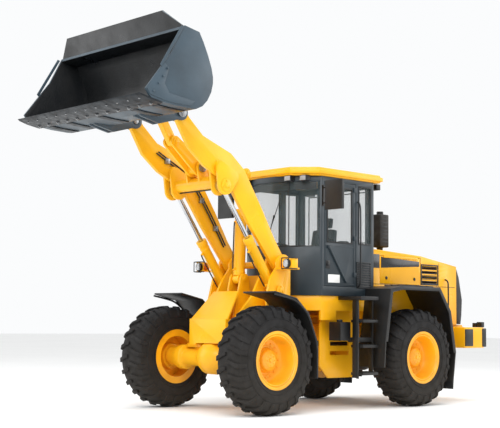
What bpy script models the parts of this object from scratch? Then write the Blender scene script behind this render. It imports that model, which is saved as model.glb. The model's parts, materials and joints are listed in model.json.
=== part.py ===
"""Articulated wheel loader, parked with its boom raised. Metres, +X forward, +Y left, +Z up.

Machine coordinates have x = 0 on the articulation pivot, halfway between the axles, and z = 0 on
the ground. ROOT_X moves the whole machine so that its own box is centred on the origin.
"""
import math

import bmesh
import bpy
from mathutils import Matrix, Vector

# Driving sizes, metres
WHEELBASE = 3.17
TRACK = 2.10
TYRE_R = 0.745
TYRE_HALF = 0.26
BEAD_R = 0.325
BUCKET_HALF = 1.37
CAB_HALF = 0.80
CAB_WALL = 0.045
HOOD_HALF = 0.60
FENDER_OUT = 1.30
ARM_Y = (0.47, 0.53)
GAP = 0.0004
SEG = 28

AXLE_F = WHEELBASE / 2
AXLE_R = -WHEELBASE / 2
REAR_END = -3.67
TIP_X = 4.084
ROOT_X = -(TIP_X + REAR_END) / 2

# Loader linkage pins, (x, z) with the boom raised
BOOM_PIN = (0.80, 2.10)
BUCKET_PIN = (2.74, 4.07)
CRANK_PIN = (1.988, 3.430)
TILT_BASE = (1.113, 1.886)
CRANK_TOP = (1.0625, 3.440)
CRANK_FOOT = (2.432, 3.759)
LINK_PIN = (2.812, 4.350)
LIFT_BASE = (0.90, 1.72)
LIFT_TOP = (1.93, 3.15)
STEER_BASE = (-0.85, 0.42)
STEER_EYE = (0.30, 0.30)
STEER_Z = 0.95
DOOR_HINGE = (-0.56, 0.806)
HOOD_HINGE = (0.606, 2.336)
GRILLE_HINGE = (-3.373, 0.60)

COLOURS = {
    "yellow": (0.90, 0.46, 0.02, 0.45, 0.0),
    "boom_yellow": (0.92, 0.52, 0.03, 0.45, 0.0),
    "slate": (0.10, 0.13, 0.17, 0.5, 0.0),
    "black": (0.02, 0.02, 0.022, 0.6, 0.0),
    "rubber": (0.018, 0.018, 0.019, 0.85, 0.0),
    "chrome": (0.75, 0.76, 0.78, 0.12, 1.0),
    "glass": (0.35, 0.42, 0.45, 0.05, 0.0),
    "steel": (0.35, 0.35, 0.36, 0.4, 1.0),
    "fabric": (0.04, 0.04, 0.045, 0.9, 0.0),
}

# Plain shapes. Each is (points, faces) in machine coordinates.


def prism(outline, low, high, axis):
    """An outline pushed along an axis; the outline holds the other two coordinates in order."""
    count = len(outline)
    points = []
    for level in (low, high):
        for first, second in outline:
            place = [first, second]
            place.insert(axis, level)
            points.append(tuple(place))
    faces = [tuple(range(count)), tuple(range(2 * count - 1, count - 1, -1))]
    for i in range(count):
        j = (i + 1) % count
        faces.append((i, i + count, j + count, j))
    return points, faces


def plate(outline, low, high):
    return prism(outline, low, high, 1)


def box(x0, x1, y0, y1, z0, z1):
    return prism([(x0, y0), (x1, y0), (x1, y1), (x0, y1)], z0, z1, 2)


def disc(centre, radius, low, high, count=SEG):
    return plate(ring(centre, radius, count), low, high)


def ring(centre, radius, count=SEG, start=0.0, stop=360.0):
    full = abs(stop - start) >= 360
    steps = count if full else count - 1
    turns = [math.radians(start + (stop - start) * i / steps) for i in range(count)]
    return [(centre[0] + radius * math.cos(a), centre[1] + radius * math.sin(a)) for a in turns]


def rod(start, end, radius, count=16):
    start = Vector(start)
    end = Vector(end)
    along = (end - start).normalized()
    side = along.cross(Vector((0, 0, 1)) if abs(along.z) < 0.9 else Vector((0, 1, 0)))
    side.normalize()
    up = along.cross(side)
    points = []
    for base in (start, end):
        for i in range(count):
            angle = 2 * math.pi * i / count
            points.append(tuple(base + radius * (math.cos(angle) * side + math.sin(angle) * up)))
    faces = [tuple(range(count)), tuple(range(2 * count - 1, count - 1, -1))]
    for i in range(count):
        j = (i + 1) % count
        faces.append((i, i + count, j + count, j))
    return points, faces


def turned(profile, x, y, z, count=SEG):
    """A closed (radius, offset along Y) loop turned about the Y line through x, y, z."""
    on_axis = [p[0] < 1e-6 for p in profile]
    points = []
    index = []
    for (radius, along), centre in zip(profile, on_axis):
        if centre:
            index.append([len(points)] * count)
            points.append((x, y + along, z))
            continue
        index.append(list(range(len(points), len(points) + count)))
        for i in range(count):
            angle = 2 * math.pi * i / count
            points.append((x + radius * math.cos(angle), y + along, z + radius * math.sin(angle)))
    faces = []
    for k in range(len(profile)):
        after = (k + 1) % len(profile)
        if on_axis[k] and on_axis[after]:
            continue
        for i in range(count):
            j = (i + 1) % count
            corners = [index[k][i], index[k][j], index[after][j], index[after][i]]
            faces.append(tuple(dict.fromkeys(corners)))
    return points, faces


def hull_outline(points):
    points = sorted(set(points))

    def half(run):
        out = []
        for p in run:
            while len(out) > 1 and cross(out[-2], out[-1], p) <= 1e-12:
                out.pop()
            out.append(p)
        return out[:-1]

    return half(points) + half(points[::-1])


def cross(a, b, c):
    return (b[0] - a[0]) * (c[1] - a[1]) - (b[1] - a[1]) * (c[0] - a[0])


def capsule(rounds, count=20):
    """The outline around several circles, given as ((x, z), radius)."""
    return hull_outline([p for centre, radius in rounds for p in ring(centre, radius, count)])


def strip(path, thick):
    """A ribbon outline: the path and its copy moved to its left by thick."""
    moved = []
    for i, here in enumerate(path):
        before = path[max(i - 1, 0)]
        after = path[min(i + 1, len(path) - 1)]
        one = Vector((here[0] - before[0], here[1] - before[1]))
        two = Vector((after[0] - here[0], after[1] - here[1]))
        one = one.normalized() if one.length else two.normalized()
        two = two.normalized() if two.length else one
        bisect = Vector((-(one.y + two.y), one.x + two.x)).normalized()
        size = thick / max(bisect.dot(Vector((-one.y, one.x))), 0.4)
        moved.append((here[0] + bisect.x * size, here[1] + bisect.y * size))
    return list(path) + moved[::-1]


def flipped(shape):
    points, faces = shape
    return [(x, -y, z) for x, y, z in points], [face[::-1] for face in faces]


def both(*shapes):
    return list(shapes) + [flipped(shape) for shape in shapes]


# Scene helpers


def clear_scene():
    for item in list(bpy.data.objects):
        bpy.data.objects.remove(item, do_unlink=True)


def material(name, colour):
    made = bpy.data.materials.new(name)
    made.use_nodes = True
    shader = made.node_tree.nodes["Principled BSDF"]
    red, green, blue, rough, metal = COLOURS[colour]
    shader.inputs["Base Color"].default_value = (red, green, blue, 1)
    shader.inputs["Roughness"].default_value = rough
    shader.inputs["Metallic"].default_value = metal
    made.diffuse_color = (red, green, blue, 1)
    return made


def temporary(shape, name="piece"):
    mesh = bpy.data.meshes.new(name)
    mesh.from_pydata([Vector(p) for p in shape[0]], [], shape[1])
    work = bmesh.new()
    work.from_mesh(mesh)
    bmesh.ops.remove_doubles(work, verts=work.verts, dist=1e-6)
    bmesh.ops.recalc_face_normals(work, faces=work.faces)
    if work.calc_volume(signed=True) < 0:
        bmesh.ops.reverse_faces(work, faces=work.faces)
    work.to_mesh(mesh)
    work.free()
    made = bpy.data.objects.new(name, mesh)
    bpy.context.scene.collection.objects.link(made)
    return made


def combine(target, other, operation):
    modifier = target.modifiers.new(operation, "BOOLEAN")
    modifier.operation = operation
    modifier.solver = "EXACT"
    modifier.object = other
    bpy.context.view_layer.update()
    graph = bpy.context.evaluated_depsgraph_get()
    result = bpy.data.meshes.new_from_object(target.evaluated_get(graph))
    target.modifiers.clear()
    target.data = result
    bpy.data.objects.remove(other, do_unlink=True)


def body(name, place, parent=None):
    """An empty on a joint axis; its place is in machine coordinates."""
    made = bpy.data.objects.new(name, None)
    bpy.context.scene.collection.objects.link(made)
    made.empty_display_size = 0.2
    made.parent = parent
    base = Vector(parent["place"]) if parent else Vector((-ROOT_X, 0, 0))
    made.location = Vector(place) - base
    made["place"] = tuple(place)
    return made


def node(name, holder, colour, adds, cuts=()):
    """Welds the shapes, cuts the others away, and hangs the result on its body's empty."""
    made = temporary(adds[0], name)
    for shape in adds[1:]:
        combine(made, temporary(shape), "UNION")
    for shape in cuts:
        combine(made, temporary(shape), "DIFFERENCE")
    work = bmesh.new()
    work.from_mesh(made.data)
    bmesh.ops.remove_doubles(work, verts=work.verts, dist=2e-5)
    bmesh.ops.dissolve_limit(
        work, angle_limit=0.002, verts=work.verts, edges=work.edges, delimit={"NORMAL"}
    )
    bmesh.ops.triangulate(work, faces=work.faces)
    work.to_mesh(made.data)
    work.free()
    made.data.transform(Matrix.Translation(-Vector(holder["place"])))
    made.data.materials.clear()
    made.data.materials.append(material(name, colour))
    made.name = name
    made.parent = holder
    return made


# Rear frame and what stands on it


def cab_outline(shrink=0.0):
    """Half plan of the cab from its rear centre to its front centre, mirrored to a loop."""
    half = [
        (-0.98 + shrink, CAB_HALF - shrink),
        (0.20 - shrink * 0.4, CAB_HALF - shrink),
        (0.42 - shrink * 0.85, 0.55 - shrink * 0.5),
        (0.51 - shrink, 0.42 - shrink * 0.4),
        (0.58 - shrink, 0.18),
    ]
    return half + [(x, -y) for x, y in half[::-1]]


def build_rear_frame(root):
    rail = [(-3.30, 0.88), (-3.30, 1.27), (-0.45, 1.27), (-0.45, 0.70), (-0.90, 0.70)]
    rail += [(-1.20, 0.95), (-2.20, 0.95), (-2.50, 0.88)]
    skirt = [(-0.80, 0.44), (-0.80, 1.45), (-0.10, 1.45), (0.02, 1.25), (0.02, 0.62), (-0.16, 0.44)]
    fork = [(-0.75, -0.24), (-0.10, -0.20)] + ring((0, 0), 0.15, 13, -70, 70)
    fork += [(-0.10, 0.20), (-0.75, 0.24)]
    adds = both(plate(rail, 0.16, 0.20))
    adds += [
        box(-0.80, -0.76, -0.61, 0.61, 0.60, 1.45),
        box(-3.30, -3.26, -0.18, 0.18, 0.90, 1.25),
        box(-1.85, -1.32, -0.18, 0.18, 0.95, 1.25),
        box(-0.80, -0.40, -0.18, 0.18, 0.52, 1.45),
        prism(fork, 0.54, 0.58, 2),
        prism(fork, 0.70, 0.74, 2),
        prism(fork, 1.20, 1.24, 2),
        prism(fork, 1.34, 1.38, 2),
        rod((0, 0, 0.52), (0, 0, 0.76), 0.05, 16),
        rod((0, 0, 1.18), (0, 0, 1.40), 0.05, 16),
        prism(cab_outline(0.03), 1.44, 1.6596, 2),
    ]
    adds += both(
        plate(skirt, 0.58, 0.61),
        box(-1.00, -0.80, 0.17, 0.75, 1.30, 1.46),
        box(-2.30, -1.20, 0.19, 0.58, 1.24, 1.27),
        box(-0.93, -0.79, 0.30, 0.52, 0.865, 0.915),
        box(-0.93, -0.79, 0.30, 0.52, 0.985, 1.035),
        box(-0.90, -0.79, 0.17, 0.31, 0.86, 1.04),
        rod((STEER_BASE[0], STEER_BASE[1], 0.90), (STEER_BASE[0], STEER_BASE[1], 1.0), 0.03),
        box(-0.15, 0.18, 0.73, 0.77, 1.30, 1.45),
    )
    slots = [box(-0.62, -0.20, 0.55, 0.65, z, z + 0.06) for z in (0.78, 0.92, 1.06)]
    cuts = both(*slots)
    cuts += both(box(-0.83, -0.74, 0.335, 0.505, 0.89, 1.01))
    cuts += [rod((AXLE_R, -0.25, TYRE_R), (AXLE_R, 0.25, TYRE_R), 0.25, 20)]
    node("rear_frame", root, "yellow", adds, cuts)


def axle_profile():
    """Half of an axle beam, from the centre out to the stub that carries the wheel."""
    half = [(0.235, 0.0), (0.235, 0.09), (0.17, 0.20), (0.125, 0.26), (0.125, 0.56), (0.18, 0.58)]
    half += [(0.18, 0.70), (0.15, 0.72), (0.15, 0.898), (0.06, 0.90), (0.06, 0.98)]
    return half


def axle(name, holder, x):
    half = axle_profile()
    loop = [(0.0, 0.98)] + half[::-1] + [(r, -y) for r, y in half[1:]] + [(0.0, -0.98)]
    shapes = [turned(loop, x, 0, TYRE_R, 20)]
    if name == "rear_axle":
        shapes += [box(x - 0.20, x + 0.20, -0.30, 0.30, 0.80, 0.9496)]
    else:
        shapes += both(box(x - 0.16, x + 0.02, 0.26, 0.38, 0.76, 0.8896))
    node(name, holder, "black", shapes)


def build_counterweight(root):
    outline = [(-3.08, 0.98), (-3.62, 0.98), (-3.67, 0.93)]
    outline += [(x, -y) for x, y in outline[::-1]]
    core = prism(outline, 0.87, 1.21, 2)
    shelf = box(-3.60, -3.3004, -0.56, 0.56, 1.18, 1.2496)
    pocket = box(-3.3004, -3.0, -0.62, 0.62, 0.80, 1.30)
    node("counterweight", root, "yellow", [core, shelf], [pocket])


def hood_path():
    return [(-1.06, 2.42), (-1.30, 2.42), (-2.40, 2.365), (-2.87, 2.30), (-3.37, 2.23)]


def build_hood(root):
    top = hood_path()
    side = top + [(-3.37, 1.25), (-1.06, 1.27)]
    inner = [(x, z - 0.03) for x, z in top] + [(-3.37, 1.20), (-1.06, 1.20)]
    inner = [(-1.0, inner[0][1])] + inner[1:4] + [(-3.35, 2.20), (-3.35, 1.20), (-1.0, 1.20)]
    outer = plate(side, -HOOD_HALF, HOOD_HALF)
    hollow = plate(inner, -HOOD_HALF + 0.02, HOOD_HALF - 0.02)
    opening = box(-2.385, -1.365, -0.7, 0.7, 1.885, 2.329)
    rear = box(-3.5, -3.2, -0.53, 0.53, 1.30, 2.13)
    vents = both(*[box(-2.84, -2.43, 0.5, 0.7, z, z + 0.045) for z in (1.92, 2.0, 2.08, 2.16)])
    cuts = [hollow, opening, rear] + vents
    node("hood", root, "yellow", [outer], cuts)


def build_hood_doors(root):
    for side, sign in (("left", 1), ("right", -1)):
        holder = body("hood_door_%s_hinge" % side, (-1.875, sign * HOOD_HINGE[0], HOOD_HINGE[1]), root)
        panel = box(-2.379, -1.371, 0.582, 0.602, 1.891, 2.322)
        rail = box(-2.30, -1.45, 0.6055, 0.618, 2.298, 2.334)
        tie = box(-2.30, -1.45, 0.598, 0.610, 2.298, 2.316)
        shapes = [panel, rail, tie]
        if sign < 0:
            shapes = [flipped(shape) for shape in shapes]
        node("hood_door_" + side, holder, "yellow", shapes)


def build_grille_door(root):
    holder = body("grille_hinge", (GRILLE_HINGE[0], GRILLE_HINGE[1], 1.70), root)
    guard = [(-3.376, 2.222), (-3.457, 2.05), (-3.546, 1.67), (-3.528, 1.41), (-3.50, 1.26)]
    frame = plate(guard + [(-3.376, 1.26)], -0.59, 0.59)
    window = box(-3.7, -3.40, -0.53, 0.53, 1.31, 2.10)
    node("grille_door", holder, "black", [frame], [window])


def build_engine(root):
    block = box(-2.75, -1.30, -0.32, 0.32, 1.2704, 2.15)
    cap = box(-1.62, -1.40, -0.14, 0.14, 2.10, 2.36)
    node("engine_block", root, "steel", [block, cap])


def build_exhaust(root):
    base = rod((-1.90, 0.15, 2.3930), (-1.90, 0.15, 2.56), 0.05)
    pipe = box(-2.02, -1.79, 0.05, 0.25, 2.50, 3.04)
    node("exhaust_stack", root, "black", [base, pipe])


def build_cab(root):
    shell = prism(cab_outline(), 1.66, 3.43, 2)
    inside = prism(cab_outline(CAB_WALL), 1.72, 3.50, 2)
    cuts = [inside]
    cuts += [box(-0.56, 0.150, 0.70, 0.90, 1.80, 3.365)]
    cuts += [box(-0.52, 0.150, -0.90, -0.70, 2.45, 3.345)]
    cuts += both(box(-0.915, -0.625, 0.70, 0.90, 2.45, 3.345))
    cuts += [box(-1.10, -0.90, -0.66, 0.66, 2.48, 3.33)]
    cuts += [box(0.215, 0.70, -0.775, 0.775, 2.38, 3.345)]
    tail = prism([(-0.97, -0.70), (-0.97, 0.70), (-1.04, 0.66), (-1.04, -0.66)], 1.66, 2.41, 2)
    node("cab_frame", root, "black", [shell, tail], cuts)


def build_roof(root):
    low = [(0.57, 0.50), (0.28, 0.82), (-1.12, 0.82)]
    high = [(0.60, 0.53), (0.30, 0.85), (-1.15, 0.85)]
    low += [(x, -y) for x, y in low[::-1]]
    high += [(x, -y) for x, y in high[::-1]]
    base = prism(low, 3.4304, 3.46, 2)
    cap = prism(high, 3.455, 3.52, 2)
    crown = prism(low, 3.515, 3.555, 2)
    node("cab_roof", root, "yellow", [base, cap, crown])


def pane(outline_out, outline_in, z0, z1):
    return prism(outline_out, z0, z1, 2), prism(outline_in, z0 - 1, z1 + 1, 2)


def build_glass(root):
    outer, inner = pane(cab_outline(0.012), cab_outline(0.020), 2.3804, 3.3446)
    keep = box(0.2154, 0.80, -0.7746, 0.7746, 2.0, 3.6)
    made = temporary(outer, "windshield")
    combine(made, temporary(inner), "DIFFERENCE")
    combine(made, temporary(keep), "INTERSECT")
    points = [tuple(v.co) for v in made.data.vertices]
    faces = [tuple(p.vertices) for p in made.data.polygons]
    bpy.data.objects.remove(made, do_unlink=True)
    node("windshield", root, "glass", [(points, faces)])
    node("rear_window", root, "glass", [box(-0.968, -0.960, -0.6596, 0.6596, 2.4804, 3.3296)])
    side = box(-0.9146, -0.6254, 0.776, 0.784, 2.4504, 3.3446)
    node("quarter_window_left", root, "glass", [side])
    node("quarter_window_right", root, "glass", [flipped(side)])
    wide = box(-0.5196, 0.1496, -0.784, -0.776, 2.4504, 3.3446)
    node("side_window_right", root, "glass", [wide])


def build_door(root):
    holder = body("door_hinge", (DOOR_HINGE[0], DOOR_HINGE[1], 2.60), root)
    slab = box(-0.553, 0.143, 0.768, 0.798, 1.807, 3.358)
    window = box(-0.48, 0.085, 0.70, 0.90, 2.45, 3.29)
    hinge = [box(-0.560, -0.50, 0.8055, 0.817, z, z + 0.07) for z in (1.95, 2.50, 3.24)]
    hinge += [box(-0.540, -0.50, 0.790, 0.812, z, z + 0.07) for z in (1.95, 2.50, 3.24)]
    rail = rod((0.06, 0.815, 2.40), (-0.33, 0.815, 1.86), 0.012, 10)
    feet = [box(0.045, 0.075, 0.79, 0.818, 2.36, 2.40), box(-0.33, -0.30, 0.79, 0.818, 1.865, 1.905)]
    node("door_left", holder, "black", [slab, rail] + feet + hinge, [window])
    node("door_glass", holder, "glass", [box(-0.4796, 0.0846, 0.779, 0.787, 2.4504, 3.2896)])


def build_interior(root):
    base = box(-0.62, -0.18, -0.22, 0.22, 1.7204, 2.02)
    cushion = box(-0.66, -0.12, -0.25, 0.25, 2.00, 2.16)
    back = plate([(-0.60, 2.10), (-0.50, 2.14), (-0.62, 2.86), (-0.73, 2.84)], -0.24, 0.24)
    node("seat", root, "fabric", [base, cushion, back])
    foot = rod((0.33, 0, 1.76), (0.20, 0, 2.38), 0.045)
    dash = box(0.24, 0.42, -0.22, 0.22, 1.7204, 2.20)
    wheel = rod((0.205, 0, 2.37), (0.195, 0, 2.40), 0.19, 16)
    node("steering_column", root, "black", [foot, dash, wheel])


def rear_fender_path():
    path = [(-0.63, 0.61), (-0.66, 1.00), (-0.79, 1.78), (-1.05, 1.83), (-2.00, 1.83)]
    return path + [(-2.275, 1.46), (-2.40, 0.82), (-2.33, 0.36)]


def build_rear_fenders(root):
    path = rear_fender_path()
    sheet = plate(strip(path, 0.022), CAB_HALF + GAP, FENDER_OUT)
    wing = plate(strip([(-1.06, 1.83)] + path[4:], 0.022), HOOD_HALF + GAP, CAB_HALF + 0.02)
    lip = plate(strip(path[1:-1], 0.06), FENDER_OUT - 0.02, FENDER_OUT)
    shapes = [sheet, lip, wing]
    node("rear_fender_left", root, "black", shapes)
    node("rear_fender_right", root, "black", [flipped(shape) for shape in shapes])


def build_ladders(root):
    front = plate([(-0.27, 0.46), (-0.21, 0.46), (-0.21, 1.62), (-0.27, 1.62)], 1.04, 1.12)
    back = plate([(-0.60, 0.50), (-0.575, 0.50), (-0.575, 1.62), (-0.60, 1.62)], 1.04, 1.12)
    steps = [box(-0.59, -0.25, 0.98, 1.22, z, z + 0.04) for z in (0.50, 0.90, 1.27)]
    deck = box(-0.60, -0.20, CAB_HALF - 0.03 + GAP, 1.22, 1.6004, 1.655)
    tank = box(-0.22, 0.0, 0.7704, 1.00, 1.00, 1.275)
    tie = box(-0.62, -0.22, 0.6104, 0.96, 1.00, 1.04)
    shapes = [deck, front, back, tie, tank] + steps
    shapes += [box(-0.60, -0.22, 0.94, 1.10, 0.98, 1.05)]
    node("ladder_left", root, "black", shapes)
    node("ladder_right", root, "black", [flipped(shape) for shape in shapes])


def build_mirrors(root):
    arms = [rod((0.185, CAB_HALF + 0.01, z), (0.325, 1.12, z), 0.012, 10) for z in (3.25, 3.02)]
    foot = box(0.16, 0.20, CAB_HALF + GAP, 0.83, 2.98, 3.29)
    case = box(0.30, 0.35, 1.00, 1.33, 2.90, 3.33)
    shapes = [case, foot] + arms
    node("mirror_left", root, "black", shapes)
    node("mirror_right", root, "black", [flipped(shape) for shape in shapes])


# Front frame


def build_front_frame(front):
    cheek = [(0.68, 1.00), (1.10, 1.00), (1.16, 1.60), (1.08, 1.90)]
    cheek += ring((0.82, 2.10), 0.14, 9, -20, 180)
    inner = [(0.68, 1.00), (1.60, 1.00), (1.60, 1.26), (1.24, 1.62), (1.08, 1.90)]
    inner += ring((0.82, 2.10), 0.14, 9, -20, 180)
    lug = [(0.70, -0.24), (0.30, -0.20)] + ring((0, 0), 0.14, 13, 250, 110) + [(0.30, 0.20), (0.70, 0.24)]
    adds = both(plate(cheek, 0.59, 0.63), plate(inner, 0.37, 0.41))
    adds += [
        box(0.70, 1.72, -0.385, 0.385, 0.93, 1.30),
        box(0.68, 0.72, -0.60, 0.60, 0.93, 1.95),
        box(0.68, 1.14, -0.62, 0.62, 0.93, 1.05),
        box(0.66, 0.74, -0.20, 0.20, 0.50, 1.40),
        prism(lug, 0.585, 0.695, 2),
        prism(lug, 1.245, 1.335, 2),
        box(0.66, 1.62, -0.55, 0.55, 0.89, 0.94),
        rod((BOOM_PIN[0], -0.645, BOOM_PIN[1]), (BOOM_PIN[0], 0.645, BOOM_PIN[1]), 0.05, 16),
        rod((TILT_BASE[0], -0.14, TILT_BASE[1]), (TILT_BASE[0], 0.14, TILT_BASE[1]), 0.035, 16),
    ]
    adds += both(
        rod((LIFT_BASE[0], 0.36, LIFT_BASE[1]), (LIFT_BASE[0], 0.64, LIFT_BASE[1]), 0.04, 16),
        plate([(0.95, 1.20), (1.35, 1.20), (1.19, 1.90)] + ring(TILT_BASE, 0.08, 7, 0, 180), 0.095, 0.125),
    )
    lever = [(0.25, 0.24), (0.35, 0.24), (0.72, 0.44), (0.72, 0.56), (0.35, 0.36), (0.25, 0.36)]
    adds += both(
        prism(lever, 0.975, 1.005, 2),
        prism(lever, 0.895, 0.925, 2),
        box(0.77, 0.98, 0.62, 0.90, 2.015, 2.04),
        box(0.93, 1.05, 0.86, 1.02, 2.02, 2.16),
        box(0.87, 0.99, 0.62, 0.6596, 1.05, 1.15),
    )
    cover = [(-0.392, 1.285), (0.392, 1.285), (0.255, 1.70), (-0.255, 1.70)]
    adds += [sloped_cover(cover)]
    cuts = [
        rod((0, 0, 0.50), (0, 0, 0.80), 0.054, 16),
        rod((0, 0, 1.10), (0, 0, 1.45), 0.054, 16),
        rod((AXLE_F, -0.25, TYRE_R), (AXLE_F, 0.25, TYRE_R), 0.25, 20),
    ]
    node("front_frame", front, "yellow", adds, cuts)


def sloped_cover(outline):
    """The cover plate ahead of the tilt cylinder: it leans back as it rises."""
    points = []
    for shift in (0.0, -0.03):
        for y, z in outline:
            points.append((1.70 - (z - 1.285) * 0.80 + shift, y, z))
    faces = [(0, 1, 2, 3), (7, 6, 5, 4), (0, 4, 5, 1), (1, 5, 6, 2), (2, 6, 7, 3), (3, 7, 4, 0)]
    return points, faces


def build_front_fenders(front):
    path = [(1.65, 1.66), (1.24, 1.576), (1.005, 1.379), (0.824, 0.974), (0.82, 0.488)]
    sheet = plate(strip(path, -0.022), 0.66, FENDER_OUT)
    web = [(0.815, 0.95), (0.99, 0.95), (0.99, 1.22), (1.0, 1.385), (0.812, 0.975)]
    inner = plate(web, 0.66, 0.68)
    shapes = [sheet, inner]
    node("front_fender_left", front, "black", shapes)
    node("front_fender_right", front, "black", [flipped(shape) for shape in shapes])


# Wheels


def tyre_profile():
    wall = [(0.3284, 0.213), (0.41, 0.213), (0.41, 0.236), (0.46, 0.254), (0.56, TYRE_HALF)]
    wall += [(0.66, 0.25), (0.715, 0.225), (TYRE_R, 0.17)]
    return wall + [(r, -y) for r, y in wall[::-1]]


def rim_profile():
    """Barrel, flanges and dished disc; the hub's blind bore opens inboard. Outboard is +Y."""
    loop = [(0.068, -0.14), (0.20, -0.14), (0.22, -0.06), (0.295, -0.03), (0.295, -0.235)]
    loop += [(0.405, -0.235), (0.405, -0.2134), (BEAD_R, -0.2134), (BEAD_R, 0.2134)]
    loop += [(0.405, 0.2134), (0.405, 0.235), (0.295, 0.235), (0.285, 0.02), (0.20, -0.02)]
    loop += [(0.15, -0.02), (0.14, 0.05), (0.08, 0.09), (0.0, 0.10), (0.0, -0.06), (0.068, -0.06)]
    return loop


def build_wheel(place, x, y, holder):
    hub = body("wheel_%s_axis" % place, (x, y, TYRE_R), holder)
    sign = 1 if y > 0 else -1
    rim = [(radius, along * sign) for radius, along in rim_profile()]
    node("tyre_" + place, hub, "rubber", [turned(tyre_profile(), x, y, TYRE_R)])
    node("rim_" + place, hub, "yellow", [turned(rim, x, y, TYRE_R)])


# Boom and linkage


def arm_outline():
    top = [(2.70, 4.165), (2.56, 4.02), (2.313, 3.805), (1.784, 3.614), (1.522, 3.405)]
    top += [(1.175, 2.885), (0.92, 2.47)]
    low = [(0.933, 2.069), (1.424, 2.655), (1.80, 3.165), (2.282, 3.40), (2.563, 3.617)]
    nose = ring(BUCKET_PIN, 0.105, 11, -60, 110)
    tail = ring(BOOM_PIN, 0.12, 11, 140, 320)
    return nose + top[1:] + tail + low[1:]


def build_boom(holder):
    arm = plate(arm_outline(), *ARM_Y)
    around = capsule([(LIFT_TOP, 0.135), ((2.00, 3.38), 0.10), ((1.78, 3.28), 0.09)])
    cheek = plate(around, 0.41, 0.445)
    outer = plate(around, 0.555, 0.59)
    packing = plate(capsule([((2.03, 3.43), 0.06), ((1.78, 3.33), 0.05)]), 0.42, 0.58)
    tube = rod((1.93, -0.47, 3.21), (1.93, 0.47, 3.21), 0.095, 16)
    lug = plate(capsule([(CRANK_PIN, 0.085), ((1.93, 3.21), 0.09)]), 0.110, 0.145)
    boss = disc(BOOM_PIN, 0.10, 0.43, 0.57, 16)
    adds = both(arm, cheek, outer, packing, boss) + [tube] + both(lug)
    cuts = [disc(BOOM_PIN, 0.055, -0.8, 0.8, 16), disc(CRANK_PIN, 0.043, -0.3, 0.3, 16)]
    cuts += both(disc(LIFT_TOP, 0.165, 0.446, 0.554, 20))
    cuts += both(disc(BUCKET_PIN, 0.049, 0.4, 0.6, 16))
    node("boom", holder, "boom_yellow", adds, cuts)


def build_crank(holder, pin_holder):
    side = crank_outline()
    adds = both(plate(side, 0.060, 0.095))
    adds += [disc(CRANK_PIN, 0.085, -0.095, 0.095, 16)]
    cuts = [disc(CRANK_PIN, 0.043, -0.3, 0.3, 16), disc(CRANK_TOP, 0.035, -0.3, 0.3)]
    cuts += [disc(CRANK_FOOT, 0.035, -0.3, 0.3)]
    node("bellcrank", holder, "boom_yellow", adds, cuts)
    pin = rod((CRANK_PIN[0], -0.155, CRANK_PIN[1]), (CRANK_PIN[0], 0.155, CRANK_PIN[1]), 0.038, 16)
    node("bellcrank_pin", pin_holder, "steel", [pin])


def crank_outline():
    """The crank's rear arm dips, so that the bucket's rear lip passes over it when rolled back low."""
    bends = [(CRANK_TOP, 0.08), ((1.20, 3.235), 0.07), ((1.40, 3.245), 0.07), ((1.62, 3.44), 0.085)]
    bends += [(CRANK_PIN, 0.115)]
    made = temporary(plate(capsule([(CRANK_PIN, 0.115), (CRANK_FOOT, 0.08)]), 0, 1))
    for start, end in zip(bends, bends[1:]):
        combine(made, temporary(plate(capsule([start, end]), 0, 1)), "UNION")
    loop = boundary(made)
    bpy.data.objects.remove(made, do_unlink=True)
    return loop


def boundary(made):
    """The XZ outline of a plate's lower face, in order."""
    low = {v.index: (v.co.x, v.co.z) for v in made.data.vertices if v.co.y < 0.5}
    after = {}
    count = {}
    for face in made.data.polygons:
        inside = [i for i in face.vertices if i in low]
        if len(inside) != len(face.vertices):
            continue
        corners = list(face.vertices)
        for i, one in enumerate(corners):
            two = corners[(i + 1) % len(corners)]
            count[(one, two)] = True
    for one, two in count:
        if (two, one) not in count:
            after[one] = two
    start = next(iter(after))
    loop = [start]
    while after[loop[-1]] != start:
        loop.append(after[loop[-1]])
    return [low[i] for i in loop]


def build_link(holder, pin_holder):
    bar = plate(capsule([(LINK_PIN, 0.056), (CRANK_FOOT, 0.062)]), -0.045, 0.045)
    cuts = [disc(LINK_PIN, 0.036, -0.1, 0.1, 16), disc(CRANK_FOOT, 0.034, -0.1, 0.1, 16)]
    node("tilt_link", holder, "boom_yellow", [bar], cuts)
    pin = rod((LINK_PIN[0], -0.105, LINK_PIN[1]), (LINK_PIN[0], 0.105, LINK_PIN[1]), 0.032, 16)
    node("link_pin", pin_holder, "steel", [pin])


def bucket_path():
    path = [(3.90, 3.999), (3.694, 3.966), (3.514, 3.951), (3.25, 3.945), (3.168, 3.951)]
    path += [(3.063, 4.001), (2.98, 4.087), (2.917, 4.201), (2.889, 4.32), (2.889, 4.401)]
    return path + [(2.914, 4.513), (2.982, 4.682), (3.058, 4.833), (3.132, 4.956)]


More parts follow.
